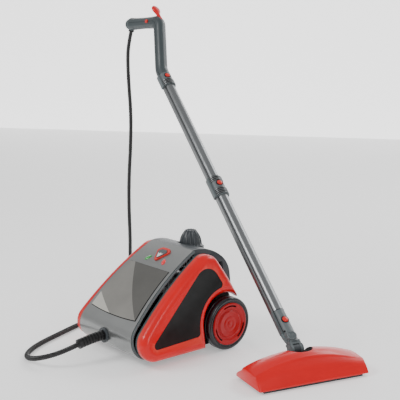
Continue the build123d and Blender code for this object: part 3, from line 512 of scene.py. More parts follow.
def onSlope(across, down, lift=0):
    # a point on the front slope: across from the middle, down from the crown, lifted off the surface
    if down <= slopeLength:
        angle = arcHigh + down / arcRadius
        centre, radius = arcCentre, arcRadius
    else:
        angle = math.radians(slopeShape["noseAngle"]) + (down - slopeLength) / slopeShape["noseRadius"]
        centre, radius = Vector((slopeShape["noseY"], slopeShape["noseZ"])), slopeShape["noseRadius"]
    y = centre.x + (radius + lift) * math.cos(angle)
    z = centre.y + (radius + lift) * math.sin(angle)
    return onCanister(across, y, z)


def slopeFrame(across, down):
    origin = onSlope(across, down)
    upward = (onSlope(across, down - 1) - origin).normalized()
    return origin, Vector((1, 0, 0)), upward, Vector((1, 0, 0)).cross(upward)


def panelHalf(down):
    return seamAt((onSlope(0, down).z - canisterMiddle.z) / mm) - facetPanel["margin"]


# corner points of the facets: (share of the half width, distance down, height of the point)
facetPanel = {
    "top": 92, "bottom": 250, "bulge": 6, "rows": 14, "margin": 11, "middle": 170, "depth": 3.2,
    "corners": {
        "topLeft": (-1, 0, 1.0), "creaseTop": (-0.72, 0, 2.9), "topRight": (1, 0, 1.2),
        "leftApex": (-1, 0.74, 2.2), "bottomLeft": (-1, 1, 1.2), "bottomMiddle": (-0.08, 1, 2.6),
        "bottomRight": (1, 1, 2.0),
    },
    # each facet takes the lit, middle or shaded finish: painted light and shade
    "facets": [
        ("facetMid", ("topLeft", "creaseTop", "bottomRight")),
        ("facetMid", ("topLeft", "bottomRight", "bottomMiddle")),
        ("facetMid", ("topLeft", "bottomMiddle", "leftApex")),
        ("facetLight", ("leftApex", "bottomMiddle", "bottomLeft")),
        ("facetDark", ("creaseTop", "topRight", "bottomRight")),
    ],
}


def makeFacetPanel(panel):
    length = panel["bottom"] - panel["top"]
    names = ["facetLight", "facetMid", "facetDark", "seamAndShadeBlack"]
    points, faces, kinds, known = [], [], [], {}

    def place(share, fall, lift):
        key = (round(share, 5), round(fall, 5), round(lift, 4))
        if key not in known:
            down = panel["top"] + fall * (length + panel["bulge"] * (1 - share * share))
            known[key] = len(points)
            points.append(onSlope(share * panelHalf(down), down, lift))
        return known[key]

    rows = panel["rows"]
    for kind, cornerNames in panel["facets"]:
        a, b, c = (Vector(panel["corners"][corner]) for corner in cornerNames)
        grid = {}
        for i in range(rows + 1):
            for j in range(rows + 1 - i):
                grid[i, j] = place(*(a + (b - a) * (i / rows) + (c - a) * (j / rows)))
        for i in range(rows):
            for j in range(rows - i):
                faces.append((grid[i, j], grid[i + 1, j], grid[i, j + 1]))
                kinds.append(names.index(kind))
                if i + j < rows - 1:
                    faces.append((grid[i + 1, j], grid[i + 1, j + 1], grid[i, j + 1]))
                    kinds.append(names.index(kind))
    build = bmesh.new()
    placed = [build.verts.new(point) for point in points]
    for face, kind in zip(faces, kinds):
        build.faces.new([placed[i] for i in face]).material_index = kind
    bmesh.ops.recalc_face_normals(build, faces=build.faces)
    outward = slopeFrame(0, panel["middle"])[3]
    if sum(face.normal.dot(outward) for face in build.faces) < 0:
        bmesh.ops.reverse_faces(build, faces=build.faces)
    # the panel's rim is skirted in black: painted shade along the panel's edge
    rim = [edge for edge in build.edges if edge.is_boundary]
    skirt = bmesh.ops.extrude_edge_only(build, edges=rim)["geom"]
    for vert in (item for item in skirt if isinstance(item, bmesh.types.BMVert)):
        vert.co -= outward * panel["depth"] * mm
    for face in (item for item in skirt if isinstance(item, bmesh.types.BMFace)):
        face.material_index = names.index("seamAndShadeBlack")
    for edge in build.edges:
        edge.smooth = len({face.material_index for face in edge.link_faces}) < 2
    mesh = bpy.data.meshes.new("FacetPanel")
    for name in names:
        mesh.materials.append(finish(name))
    for face in build.faces:
        face.smooth = True
    build.to_mesh(mesh)
    build.free()
    piece = bpy.data.objects.new("FacetPanel", mesh)
    bpy.context.scene.collection.objects.link(piece)
    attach(piece, "canister")
    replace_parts(piece, "facet_panel")


def makePanelBorder(panel):
    # a thin dark line round the facets: painted shade in the gap round the panel
    length = panel["bottom"] - panel["top"]
    sink = Vector((0, -1, 0.6)) * 1.2 * mm
    rings = []
    edge = [(-1 + i / 12, 0) for i in range(24)] + [(1, i / 12) for i in range(12)]
    edge += [(1 - i / 12, 1) for i in range(24)] + [(-1, 1 - i / 12) for i in range(12)]
    for share, fall in edge:
        down = panel["top"] + fall * (length + panel["bulge"] * (1 - share * share))
        across = share * panelHalf(down)
        spread = -1.3 if fall == 0 else 1.8 if fall == 1 else 0
        inner = onSlope(across * 0.985, down + (1.2 - 2.4 * fall), 0.25)
        outer = onSlope(across + share * 1.3, down + spread, 0.25)
        rings.append([inner, outer, outer - sink, inner - sink])
    loftPiece("PanelBorder", rings, "seamAndShadeBlack", "canister", looped=True)


makeFacetPanel(facetPanel)
makePanelBorder(facetPanel)
print("facet panel made")


# Controls
controls = {"switchDown": 46, "lampDown": 66, "lampAcross": 34, "lampTilt": 32, "lampLength": 22,
            "lampWidth": 12.5, "tip": 0.095}


def leafOutline(length, width):
    # pointed at the top, round at the bottom
    outline = []
    for i in range(28):
        t = i / 28 * 2 * math.pi
        y = math.cos(t)
        belly = math.sin(t) * (1 - 0.42 * max(y, 0) ** 2)
        outline.append((belly * width / 2, y * length / 2 * (1 + controls["tip"] * max(y, 0))))
    return list(reversed(outline))


def makeLamp(name, side, material, node):
    origin, right, upward, outward = slopeFrame(side * controls["lampAcross"], controls["lampDown"])
    tilt = math.radians(side * controls["lampTilt"])
    turnedRight = right * math.cos(tilt) + upward * math.sin(tilt)
    turnedUp = upward * math.cos(tilt) - right * math.sin(tilt)
    outline = leafOutline(controls["lampLength"], controls["lampWidth"])
    rings = []
    for scale, height in ((1, -2.5), (1, 0.4), (0.92, 1.2), (0.72, 1.9), (0.4, 2.3), (0.12, 2.4)):
        rings.append([origin + (turnedRight * x * scale + turnedUp * y * scale + outward * height) * mm
                      for x, y in outline])
    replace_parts(loftPiece(name, rings, material, "canister", 60), node)


def makeSwitchFace():
    # pale arrowhead on the lower half of the rocker: a painted highlight of the light on its lower face
    origin, right, upward, outward = slopeFrame(0, controls["switchDown"])
    place = (origin + outward * 4.4 * mm, right, upward, outward)
    highlightShape = [(-10.5, 3), (-4.2, 0.5), (0, 4.6), (4.2, 0.5), (10.5, 3), (0, -14.5)]
    platePiece("SwitchHighlight", highlightShape, place, 0.5, 0.15, "rockerHighlightWhite", "rocker", 2)


makeLamp("LampReady", -1, "lampGreen", "lamp_ready")
makeLamp("LampPower", 1, "lampRed", "lamp_power")
makeSwitchFace()
print("controls made")


# Wheels
wheelShape = {"tyre": 71.7, "hub": 57.4, "face": 163.4, "inner": 132.3, "tyreOuter": 161.9, "shoulder": 7,
              "axleEnd": 159.5, "bore": 5.3, "slots": 3, "slotHalf": 24, "slotDepth": 5}


def makeWheel(side, name):
    centre = Vector(joints["wheel_left_roll"]["pos_m"])
    centre.x = canisterMiddle.x
    axis = Vector((side, 0, 0))
    body = "wheel_" + name
    low, high, tyre = wheelShape["inner"], wheelShape["tyreOuter"], wheelShape["tyre"]
    rubber = [(low, 58), (low, 66), (low + 1.2, 69.2), (low + 3.5, tyre - 0.9), (low + 6.5, tyre)]
    rubber += [(low + 13, tyre), (low + 13.6, tyre - 0.7), (low + 16.4, tyre - 0.7), (low + 17, tyre)]
    shoulder = wheelShape["shoulder"]
    for i in range(9):
        angle = math.radians(90 - i * 11.25)
        rubber.append((high - shoulder + shoulder * math.cos(angle), tyre - shoulder + shoulder * math.sin(angle)))
    rubber += [(high, 62.6), (high - 0.8, 61.6), (high - 1.8, 61.0), (high - 1.8, 59.4), (high - 0.6, 58.9)]
    rubber += [(high - 0.6, 58)]
    tread = turnedPiece("Tyre" + name.title(), rubber, centre, axis, "tyreBlack", body, 96,
                        sharp=40)
    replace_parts(tread, "tyre_" + name)
    face, hub, axleEnd, bore = (wheelShape[key] for key in ("face", "hub", "axleEnd", "bore"))
    disc = [(axleEnd, 0), (axleEnd, bore), (low + 1, bore), (low + 1, hub), (face - 2.2, hub)]
    disc += [(face - 0.8, hub - 0.6), (face - 0.2, hub - 1.8), (face, hub - 3.6)]
    slotStart = len(disc)
    disc += [(face - 0.7, 50.6), (face - 0.9, 50.4), (face - 0.9, 46.6), (face - 0.9, 46.2)]
    disc += [(face - 1.6, 43.0), (face - 3.2, 41.0), (face - 3.2, 37.4), (face - 1.2, 36.0), (face + 0.1, 34.6)]
    disc += [(face + 0.3, 33.4), (face + 0.1, 32.4), (face - 0.5, 30.4), (face - 1.0, 22), (face - 1.3, 21.2)]
    disc += [(face - 1.3, 20.2), (face - 0.9, 19.4), (face - 0.8, 11), (face - 1.2, 10.2), (face - 1.2, 9.2)]
    disc += [(face - 0.8, 8.4), (face - 0.7, 0)]

    def cutSlots(index, angle, along, radius):
        step = 2 * math.pi / wheelShape["slots"]
        away = abs((angle - math.pi / 2 + step / 2) % step - step / 2)
        inSlot = away < math.radians(wheelShape["slotHalf"]) and index in (slotStart + 1, slotStart + 2)
        return along - (wheelShape["slotDepth"] if inSlot else 0), radius

    plate = turnedPiece("WheelHub" + name.title(), disc, centre, axis, "redDeep", body, 180,
                        shape=cutSlots, sharp=32, across=(0, 1, 0))
    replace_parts(plate, "wheel_hub_" + name)
    # the floors of the hub's slots are black: painted shade in the slots
    plate.data.materials.append(finish("seamAndShadeBlack"))
    for polygon in plate.data.polygons:
        middle = (polygon.center - centre) / mm
        if face - 8 < abs(middle.x) < face - 3 and 46.4 < math.hypot(middle.y, middle.z) < 50.5:
            polygon.material_index = 1


makeWheel(-1, "left")
makeWheel(1, "right")
print("wheels made")


# Filler cap
capShape = {"flutes": 12, "fluteDepth": 2.9, "steps": 14, "lift": 0.4}


def makeCap():
    centre = Vector(joints["cap_turn"]["pos_m"])
    centre.z += capShape["lift"] * mm
    profile = [(0, 32.4), (0.6, 33.2), (3.2, 33.4), (4.0, 32.6), (5.0, 31.8)]
    start = len(profile)
    for i in range(capShape["steps"] + 1):
        t = i / capShape["steps"]
        profile.append((6 + 34 * t, 31.6 - 4.0 * t - 9.2 * t ** 2.6))
    stop = len(profile)
    profile += [(43.4, 16.2), (45.2, 14.2), (45.6, 12.6), (45.0, 11.2), (43.6, 9.8), (42.8, 6), (42.6, 0)]

    def fluted(index, angle, along, radius):
        if index < start - 1 or index > stop + 2:
            return along, radius
        wave = 0.5 + 0.5 * math.cos(angle * capShape["flutes"])
        depth = min(1, (index - start + 2) / 3) * (1 if index < stop else 0.75)
        drop = 1.1 * wave ** 3 if index >= stop else 0
        return along - drop, radius - depth * capShape["fluteDepth"] * wave ** 2.2

    shell = turnedPiece("FillerCap", profile, centre, (0, 0, 1), "capSlate", "filler_cap",
                        180, shape=fluted, sharp=50)
    under = bmesh.new()
    under.from_mesh(shell.data)
    bmesh.ops.holes_fill(under, edges=[edge for edge in under.edges if edge.is_boundary])
    bmesh.ops.recalc_face_normals(under, faces=under.faces)
    under.to_mesh(shell.data)
    under.free()
    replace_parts(shell, "cap_shell")


makeCap()
print("filler cap made")


# Floor head
headShape = {"half": 153.3, "low": 6.2, "crown": 70.0, "end": 41.0, "rings": 48, "notchHalf": 34,
             "notchFront": 47, "corner": 29, "pullIn": 17}


def headSection(end):
    # one section of the head as (forward, height) in millimetres; end is 0 in the middle, 1 at the ends
    top = headShape["crown"] - (headShape["crown"] - headShape["end"]) * end ** 2
    share = (top - headShape["low"]) / (headShape["crown"] - headShape["low"])
    ridge = 62 + 10 * end ** 2
    section = [(-23, 0), (-25.2, 0.6), (-26, 2.4), (-26, 12), (-25.4, 20), (-23.2, 28), (-18.5, 37)]
    section += [(-11, 46), (-1, 54), (11, 60.2), (23, 63.3), (34, 64), (43, 63.2), (51, 61.0)]
    section += [(ridge - 5, 57.6), (ridge - 2.2, 56.6)]
    section += [(ridge, 55.8), (ridge + 2.2, 52.6), (ridge + 5, 49.4), (78 + 3 * end, 42.0), (84.5 + 2 * end, 33.5)]
    section += [(90, 24), (94, 14.5), (96.6, 7.2), (97.7, 4.6), (97.9, 2.6), (97.0, 0.7), (95, 0)]
    points = []
    pull = headShape["pullIn"] * end ** 6
    for forward, height in section:
        back = max(0, (10 - forward) / 36) * min(1, max(0, height - 9) / 30) ** 1.5
        points.append((forward + pull * back * 1.4, headShape["low"] + height * share))
    return points


def makeHead():
    half, rings = headShape["half"], headShape["rings"]
    stations = [(-half, 3.4), (-half + 0.5, 1.7), (-half + 1.7, 0.5), (-half + 3.6, 0)]
    inner = half - 6
    stations += [(-inner + 2 * inner * i / rings, 0) for i in range(rings + 1)]
    stations += [(half - 3.6, 0), (half - 1.7, 0.5), (half - 0.5, 1.7), (half, 3.4)]
    loops = []
    for along, inset in stations:
        loop = []
        for forward, height in headSection(abs(along) / half):
            toMiddle = Vector((36 - forward, 30 - height))
            if toMiddle.length > 1:
                toMiddle.normalize()
            low = height < headShape["low"] + 3
            forward += toMiddle.x * inset
            height += max(toMiddle.y * inset, 0) if low else toMiddle.y * inset
            loop.append(onHead(forward, along, height))
        loops.append(loop)
    cover = loftPiece("HeadCover", loops, "redGloss", "floor_head", 42)
    cover.data.materials.append(finish("seamAndShadeBlack"))
    cutter = makeNotchCutter()
    hole = cover.modifiers.new("Notch", "BOOLEAN")
    hole.operation = "DIFFERENCE"
    hole.solver = "EXACT"
    hole.object = cutter
    bakeModifiers(cover)
    bpy.data.objects.remove(cutter)
    # the walls and floor of the opening round the neck are black: painted shade in the opening
    front, side = headShape["notchFront"] + 0.4, headShape["notchHalf"] + 0.4
    for polygon in cover.data.polygons:
        place = (polygon.center - Vector((pivot.x, pivot.y, 0))) / mm
        onWall = abs(polygon.normal.z) < 0.02 or place.z < 20.5
        if -20 < place.dot(planDirection) < front and abs(place.dot(sideDirection)) < side and onWall:
            polygon.material_index = 1
    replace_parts(cover, "head_cover")


def makeNotchCutter():
    # rounded opening round the neck, from the rear wall to just behind the crest
    half, front, corner = headShape["notchHalf"], headShape["notchFront"], headShape["corner"]
    outline = [(-60, -half), (front - corner, -half)]
    outline += arcPoints(front - corner, -half + corner, corner, -75, 0, 15)
    outline += [(front, -half + corner), (front, half - corner)]
    outline += arcPoints(front - corner, half - corner, corner, 15, 90, 15)
    outline += [(front - corner, half), (-60, half)]
    walls = [[onHead(x, y, height) for x, y in outline] for height in (20, 120)]
    return loftPiece("NotchCutter", walls, "seamAndShadeBlack", None)


def bakeModifiers(piece):
    bpy.context.view_layer.update()
    evaluated = piece.evaluated_get(bpy.context.evaluated_depsgraph_get())
    mesh = bpy.data.meshes.new_from_object(evaluated)
    piece.modifiers.clear()
    piece.data = mesh
    for face in mesh.polygons:
        face.use_smooth = True
    mesh.set_sharp_from_angle(angle=math.radians(38))


makeHead()
print("floor head made")


# Handle
handleShape = {
    "socketStart": 995.7, "socketLength": 85, "gooseneck": 174, "grip": 181, "cap": 24,
    "depth": 20.0, "width": 18.0, "bendRadius": 60, "elbowRadius": 26, "step": 2,
}


def handlePoints():
    bend = math.radians(wandShape["bend"])
    back = math.radians(wandShape["gripBack"])
    gooseneck = wandAxis * math.cos(bend) + gripFront * math.sin(bend)
    grip = wandAxis * math.cos(back) - gripFront * math.sin(back)
    start = onWand(handleShape["socketStart"])
    bendPlace = onWand(handleShape["socketStart"] + handleShape["socketLength"])
    elbow = bendPlace + gooseneck * handleShape["gooseneck"] * mm
    end = elbow + grip * handleShape["grip"] * mm
    return start, bendPlace, elbow, end, gooseneck, grip


def roundedLine(corners, radii, step):
    line = [corners[0]]
    for before, here, after, radius in zip(corners, corners[1:], corners[2:], radii):
        into, out = (here - before).normalized(), (after - here).normalized()
        turn = into.angle(out)
        reach = radius * math.tan(turn / 2)
        first, last = here - into * reach, here + out * reach
        centre = first + (out - into * into.dot(out)).normalized() * radius
        count = max(4, int(radius * turn / step))
        for i in range(count + 1):
            spin = Matrix.Rotation(turn * i / count, 3, into.cross(out).normalized())
            line.append(centre + spin @ (first - centre))
    return line + [corners[-1]]


handleStart, bendPlace, elbow, gripEnd, gooseneckAxis, gripAxis = handlePoints()
handleStep = handleShape["step"] * mm
handleCorners = [handleStart, bendPlace, elbow, gripEnd - gripAxis * handleShape["cap"] * mm]
handleRadii = [handleShape["bendRadius"] * mm, handleShape["elbowRadius"] * mm]
handleLine = evenLine(roundedLine(handleCorners, handleRadii, handleStep), handleStep)
handleTotal = sum((b - a).length for a, b in zip(handleLine, handleLine[1:])) / mm


def makeHandle():
    elbowAt = handleShape["socketLength"] + handleShape["gooseneck"] - 10

    def shell(travelled, angle):
        # x runs to the outside of the bends, y to the side; the parting line down both sides is added below as a dark
        # bead
        depth, width = handleShape["depth"], handleShape["width"]
        c, s = math.cos(angle), math.sin(angle)
        power = 2 / 2.35
        x = depth * math.copysign(abs(c) ** power, c)
        y = width * math.copysign(abs(s) ** power, s)
        size = 1.0
        if travelled < 8:
            size = 0.93 + 0.07 * math.sin(travelled / 8 * math.pi / 2)
        onGrip = travelled - elbowAt
        if onGrip > 18:
            t = (onGrip - 18) / (handleTotal - elbowAt - 18)
            size *= 0.93 + 0.10 * (2 * t - 1) ** 2
            if c < -0.55 and 0.12 < t < 0.86:
                x += 1.1 * (0.5 + 0.5 * math.cos(2 * math.pi * onGrip / 6.2)) * min(1, (-c - 0.55) * 5)
        return x * size, y * size

    handle = sweptPiece("HandleShell", handleLine, shell, "slate", "wand", gripFront, 64, 50)
    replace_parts(handle, "handle_shell_left", "handle_shell_right")

    def bead(travelled, angle):
        return 0.55 * math.cos(angle), 0.35 * math.sin(angle)

    for side, name in ((-1, "HandleSeamNear"), (1, "HandleSeamFar")):
        # the parting line of the two shells, a fine dark bead set into the surface
        seamLine = []
        for index, (point, _, outwardSide, other) in enumerate(lineFrames(handleLine[6:-3], gripFront)):
            x, y = shell(12 + index * handleShape["step"], math.pi / 2 * side)
            seamLine.append(point + outwardSide * x * mm + other * (y * 0.996) * mm)
        sweptPiece(name, seamLine, bead, "seamAndShadeBlack", "wand", gripFront, 8)


sleeveShape = {"radius": 20.5, "reach": 25.5, "half": 8.0, "corner": 2.2, "bore": 16.62, "bevel": 1.2,
               "socket": 54, "collarStart": 518.1, "collarEnd": 590.1, "ribSpan": 68, "ribSteps": 24}


def makeHandleSocket():
    # sleeve round the top of the upper tube, with the side duct's fairing
    start = handleShape["socketStart"]
    sleevePiece("HandleSocket", start, start + sleeveShape["socket"])
    addRibs("HandleSocketRib", start, (4, 10, 16, 22))


def sleeveOutline():
    # round tube section with the square side duct, as (front, side)
    radius, reach, half, corner = (sleeveShape[key] for key in ("radius", "reach", "half", "corner"))
    start = math.asin(half / radius)
    outline = []
    for i in range(49):
        angle = -math.pi / 2 + start + (2 * math.pi - 2 * start) * i / 48
        outline.append((radius * math.cos(angle), radius * math.sin(angle)))
    outline += [(-half, -reach + corner), (-half + corner * 0.3, -reach + corner * 0.3), (-half + corner, -reach)]
    outline += [(half - corner, -reach), (half - corner * 0.3, -reach + corner * 0.3), (half, -reach + corner)]
    return outline


def sleevePiece(name, start, end):
    bevel, bore = sleeveShape["bevel"], sleeveShape["bore"]
    rings = []
    for distance, inset in ((start, None), (start, bevel), (start + bevel, 0), (end - bevel, 0), (end, bevel),
                            (end, None)):
        # an inset of None is the bore's edge
        ring = []
        for front, side in sleeveOutline():
            length = math.hypot(front, side)
            keep = bore / length if inset is None else 1 - inset / length
            ring.append(onWand(distance, front * keep, side * keep))
        rings.append(ring)
    return loftPiece(name, rings, "collarGrey", "wand", 30, looped=True)


def addRibs(name, start, places):
    # half rings round the front of a sleeve, on a dark band
    low, high = places[0] - 3, places[-1] + 3
    addHalfBand(name + "Band", start, [(low, -0.4), (low, 0.3), (high, 0.3), (high, -0.4)])
    points, faces = [], []
    count = 5
    for place in places:
        base = len(points)
        section = [(place + along, out) for along, out in ((-1.5, -0.6), (-1.2, 1.2), (0, 1.7), (1.2, 1.2), (1.5, -0.6))]
        for ring in halfRings(start, section):
            points += ring
        last = len(points) - count
        for low in range(base, last, count):
            faces += [[low + k, low + (k + 1) % count, low + count + (k + 1) % count, low + count + k]
                      for k in range(count)]
        faces += [list(range(base, base + count)), list(range(last, last + count))[::-1]]
    addPiece(name, points, faces, "tubeGrey", "wand", 50)


def halfRings(start, section):
    # a section of (along, out) repeated round the front of a sleeve
    span, steps = sleeveShape["ribSpan"], sleeveShape["ribSteps"]
    rings = []
    for i in range(steps + 1):
        angle = math.radians(-span - 22 + (2 * span + 22) * i / steps)
        ring = []
        for along, out in section:
            reach = sleeveShape["radius"] + out
            ring.append(onWand(start + along, reach * math.cos(angle), reach * math.sin(angle)))
        rings.append(ring)
    return rings


def addHalfBand(name, start, section):
    loftPiece(name, halfRings(start, section), "seamAndShadeBlack", "wand", 50)


buttonShape = {"radius": 7.9, "rise": 2.9, "nearHead": 200}


def makeButton(node, body):
    low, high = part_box(node)
    along = ((low + high) / 2 - pivot).dot(wandAxis) / mm
    surface = wandShape["tube"] if along < buttonShape["nearHead"] else sleeveShape["radius"]
    place = onWand(along)
    radius, rise = buttonShape["radius"], buttonShape["rise"]
    dome = [(surface - 6, 0), (surface - 6, radius), (surface + 0.6, radius)]
    for degrees in range(15, 90, 15):
        angle = math.radians(degrees)
        dome.append((surface + 0.6 + (rise - 0.6) * math.sin(angle), radius * math.cos(angle) ** 0.8))
    dome += [(surface + rise, 0)]
    suffix = node.split("_")[-1].title()
    button = turnedPiece("Button" + suffix, dome, place, wandFront, "ringRed", body, 48)
    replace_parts(button, node)
    well = [(surface - 2.4, 8.5), (surface + 0.35, 8.5), (surface + 0.6, 9.0), (surface + 0.35, 10.4)]
    well += [(surface - 2.4, 10.4)]
    turnedPiece("ButtonWell" + suffix, well, place, wandFront, "seamAndShadeBlack", "wand", 48)


def makeCollar():
    start = sleeveShape["collarStart"]
    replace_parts(sleevePiece("WandCollar", start, sleeveShape["collarEnd"]), "tube_collar")
    addRibs("WandCollarLowRib", start, (5, 11, 17, 23))
    addRibs("WandCollarTopRib", start, (55, 61, 67))


def makeDuctLines():
    # fine dark line where the side duct meets each tube
    spans = [("LowerDuctLine", 112.5, 518), ("UpperDuctLine", 590.2, 995.5), ("ConnectorDuctLine", 48, 112)]
    section = ((5.6, -16.2), (6.5, -16.2), (6.7, -15.2), (5.8, -15.0))
    for name, start, end in spans:
        rings = [[onWand(distance, front, side) for front, side in section] for distance in (start, end)]
        loftPiece(name, rings, "seamAndShadeBlack", "wand")


def makeConnectorDetails():
    # lock boss, screw and the seam where the lower tube plugs in
    boss = [(9, 0), (9, 10.2), (17.6, 10.2), (18.6, 9.6), (18.9, 8.4), (18.9, 6.8), (18.3, 6.2)]
    boss += [(18.3, 3.2), (18.7, 2.6), (18.7, 0)]
    facing = (wandFront * 0.55 - sideDirection * 0.84).normalized()
    turnedPiece("LockBoss", boss, onWand(34), facing, "collarGrey", "wand", 48)
    screw = [(15.6, 0), (15.6, 2.6), (16.9, 2.6), (16.9, 2.0), (16.4, 1.8), (16.4, 0)]
    turnedPiece("BossScrew", screw, onWand(48, 1.5), facing, "seamAndShadeBlack", "wand", 24)
    cap = [(9, 0), (9, 13), (18.4, 13), (20.0, 12.2), (20.6, 10.8), (20.2, 9.6), (19.4, 9.0), (19.4, 4)]
    cap += [(20.0, 3), (20.0, 0)]
    capFacing = (wandFront * 0.97 - sideDirection * 0.24).normalized()
    turnedPiece("PivotCap", cap, onWand(29), capFacing, "collarGrey", "wand", 56)
    foot = []
    for distance, reach in ((16, 15), (26, 18.4), (36, 20.6), (47, 21.4)):
        corners = ((6, -10), (6, -reach + 1.6), (4.4, -reach), (-4.4, -reach), (-6, -reach + 1.6), (-6, -10))
        foot.append([onWand(distance, front, side) for front, side in corners])
    loftPiece("DuctFoot", foot, "railTeal", "wand", 40)
    ring = [(111.4, 16.2), (111.4, 16.75), (113.2, 16.75), (113.2, 16.2)]
    turnedPiece("TubeSeam", ring, pivot, wandAxis, "seamAndShadeBlack", "wand", 64)


cheekShape = {"half": 13, "radius": 13.4, "low": -31, "out": 15.7, "thickness": 1.6, "bevel": 0.5}


def makeNeckCheeks():
    # side plates of the neck, round the pitch pin
    outline = [(-cheekShape["half"], cheekShape["low"]), (cheekShape["half"], cheekShape["low"])]
    outline += arcPoints(0, 0, cheekShape["radius"], 0, 181, 12)
    for side, name in ((-1, "Near"), (1, "Far")):
        place = (pivot + sideDirection * side * cheekShape["out"] * mm, planDirection, up, sideDirection * side)
        platePiece("NeckCheek" + name, outline, place, cheekShape["thickness"], cheekShape["bevel"], "collarGrey",
                   "yoke")


endCapShape = {"depth": 20.6, "width": 18.6, "sides": 64}


def makeEndCap():
    # ringed rear cap of the grip
    start = gripEnd - gripAxis * handleShape["cap"] * mm
    profile = [(0, 0), (0, 1.03), (1.4, 1.06), (3.6, 1.06), (4.6, 1.0), (5.0, 0.84), (6.2, 0.80), (8.0, 0.80)]
    profile += [(8.6, 0.86), (11.4, 0.86), (12.0, 0.80), (13.6, 0.80), (14.2, 0.86), (19.0, 0.85), (22.4, 0.79)]
    profile += [(24.4, 0.64), (25, 0)]
    first = gripSide.cross(gripAxis).normalized()
    points, faces = [], []
    sides = endCapShape["sides"]
    for along, size in profile:
        for i in range(sides):
            angle = 2 * math.pi * i / sides
            x, y = endCapShape["depth"] * size * math.cos(angle), endCapShape["width"] * size * math.sin(angle)
            points.append(start + (gripAxis * along + first * x + gripSide * y) * mm)
    for low in range(0, len(points) - sides, sides):
        faces += [[low + i, low + (i + 1) % sides, low + sides + (i + 1) % sides, low + sides + i]
                  for i in range(sides)]
    cap = addPiece("HandleEndCap", points, faces, "trimGrey", "wand", 35)
    weld = bmesh.new()
    weld.from_mesh(cap.data)
    bmesh.ops.remove_doubles(weld, verts=weld.verts, dist=1e-6)
    weld.to_mesh(cap.data)
    weld.free()
    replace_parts(cap, "handle_end_cap")


triggerShape = {"lean": 25, "sides": 28, "leafStart": 38, "dish": 1.3}


def makeTrigger():
    # leaf paddle on a narrow tail, turning on its pin
    origin = Vector(joints["trigger_pull"]["pos_m"])
    square = (gripAxis - gooseneckAxis * gripAxis.dot(gooseneckAxis)).normalized()
    lean = math.radians(triggerShape["lean"])
    along = gooseneckAxis * math.cos(lean) + square * math.sin(lean)
    thick = along.cross(gripSide).normalized()
    # (distance from the pin, half width, half thickness)
    stations = [(-8.6, 4.2, 2.6), (-7, 5.6, 5.2), (0, 6.0, 7.8), (8, 6.0, 6.4), (20, 6.0, 5.4), (28, 6.4, 5.6)]
    stations += [(34, 8.6, 6.2), (40, 12.6, 7.0), (47, 15.4, 7.6), (54, 16.0, 7.6), (60, 14.8, 7.0)]
    stations += [(65, 12.0, 6.0), (69, 8.0, 4.6), (71.6, 3.2, 2.6)]
    rings = []
    for distance, half, deep in stations:
        ring = []
        for i in range(triggerShape["sides"]):
            angle = 2 * math.pi * i / triggerShape["sides"]
            c, s = math.cos(angle), math.sin(angle)
            x = half * math.copysign(abs(c) ** 0.75, c)
            y = deep * math.copysign(abs(s) ** 0.8, s)
            if distance > triggerShape["leafStart"] and s > 0:
                y -= triggerShape["dish"] * (1 - (x / half) ** 2)
            ring.append(origin + (along * distance + gripSide * x + thick * y) * mm)
        rings.append(ring)
    paddle = loftPiece("Trigger", rings, "redGloss", "trigger_lever", 60)
    soften = paddle.modifiers.new("Soften", "SUBSURF")
    soften.levels = soften.render_levels = 1
    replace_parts(paddle, "trigger")


makeHandle()
makeHandleSocket()
for node, body in (("latch_button_handle", "latch_handle"), ("latch_button_collar", "latch_collar"),
                   ("latch_button_connector", "latch_connector")):
    makeButton(node, body)
makeCollar()
makeDuctLines()
makeConnectorDetails()
makeNeckCheeks()
makeEndCap()
makeTrigger()
print("handle and wand made")


# Grey band in the gap beside each red side
bandShape = {"near": 1.5, "far": 4.1, "sunk": 1.6, "deep": 6, "start": 262, "noseSteps": 29, "slopeSteps": 32}


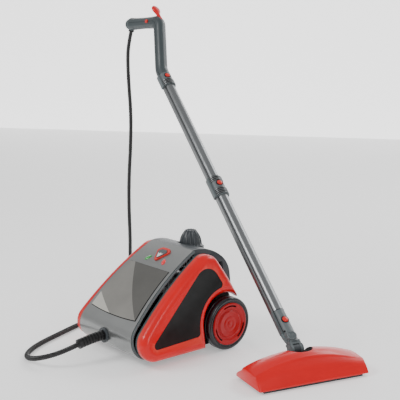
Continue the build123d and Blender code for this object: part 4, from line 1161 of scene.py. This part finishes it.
def makeSideBand(side, name):
    nose = Vector((slopeShape["noseY"], slopeShape["noseZ"]))
    noseSteps, slopeSteps = bandShape["noseSteps"], bandShape["slopeSteps"]
    spots = []
    for step in range(noseSteps + 1):
        angle = math.radians(bandShape["start"] - (bandShape["start"] - slopeShape["noseAngle"]) * step / noseSteps)
        spots.append((nose, slopeShape["noseRadius"], angle))
    for step in range(1, slopeSteps + 1):
        spots.append((arcCentre, arcRadius, arcLow + (arcHigh - arcLow) * step / slopeSteps))
    near, far, shallow, deep = (bandShape[key] for key in ("near", "far", "sunk", "deep"))
    rings = []
    for centre, radius, angle in spots:
        ring = []
        for across, sunk in ((near, shallow), (far, shallow), (far, deep), (near, deep)):
            y = centre.x + (radius - sunk) * math.cos(angle)
            z = centre.y + (radius - sunk) * math.sin(angle)
            ring.append(onCanister(side * (seamAt(z) + across), y, z))
        rings.append(ring)
    loftPiece("SideBand" + name, rings, "trimGrey", "canister", 40)


makeSideBand(-1, "Left")
makeSideBand(1, "Right")


# Finishes of the pieces that keep their shape
nodeFinishes = {
    "bodyGrey": ["front_cover"], "redGloss": ["side_panel_left", "side_panel_right"],
    "trimGrey": ["side_trim_left", "side_trim_right"], "windowSmoke": ["side_window_left", "side_window_right"],
    # chassis_base is black: painted shade in the gaps beside the red sides
    "seamAndShadeBlack": ["chassis_base"],
    "hoodDark": ["rear_hood", "rear_cover", "mains_inlet", "hose_socket", "neck_yoke", "head_base", "steam_bar",
                 "boiler_brackets", "cap_core"],
    "ringRed": ["switch_bezel", "lock_button"], "slate": ["power_switch", "caster_fork"],
    "tubeGrey": ["upper_tube", "lower_tube"], "collarGrey": ["connector"],
    "steel": ["boiler_tank", "steam_pipe", "wheel_axle", "caster_axle", "pitch_pin", "roll_pin", "trigger_pin",
              "body_screws", "head_screws"],
    "alloy": ["heating_element"], "brass": ["steam_valve", "handle_valve"], "boardGreen": ["control_board"],
    "tyreBlack": ["caster_wheel"], "nylon": ["brush_strips"], "silicone": ["steam_line"],
}
for name, members in nodeFinishes.items():
    for node in members:
        dress(node, name)
print("finishes laid on")


# Floor and backdrop
pale = {"tone": (0.88, 0.88, 0.88), "grain": 60, "depth": 0.02, "shift": 0.01}
finishes["floorPale"] = {**pale, "rough": 0.7, "glow": 0.35}
finishes["backdropPale"] = {**pale, "rough": 0.8, "glow": 1.5}


def makeStage(name, points, material):
    mesh = bpy.data.meshes.new(name)
    mesh.from_pydata(points, [], [(0, 1, 2, 3)])
    mesh.materials.append(finish(material))
    stage = bpy.data.objects.new(name, mesh)
    bpy.context.scene.collection.objects.link(stage)


floorHeight, reach = -0.0005, 7
floorCorners = [(-reach, -reach), (reach, -reach), (reach, reach), (-reach, reach)]
makeStage("StudioFloor", [(x, y, floorHeight) for x, y in floorCorners], "floorPale")
makeStage("Backdrop", [(-7, 1.5, -0.001), (1.0, 7, -0.001), (1.0, 7, 5), (-7, 1.5, 5)], "backdropPale")
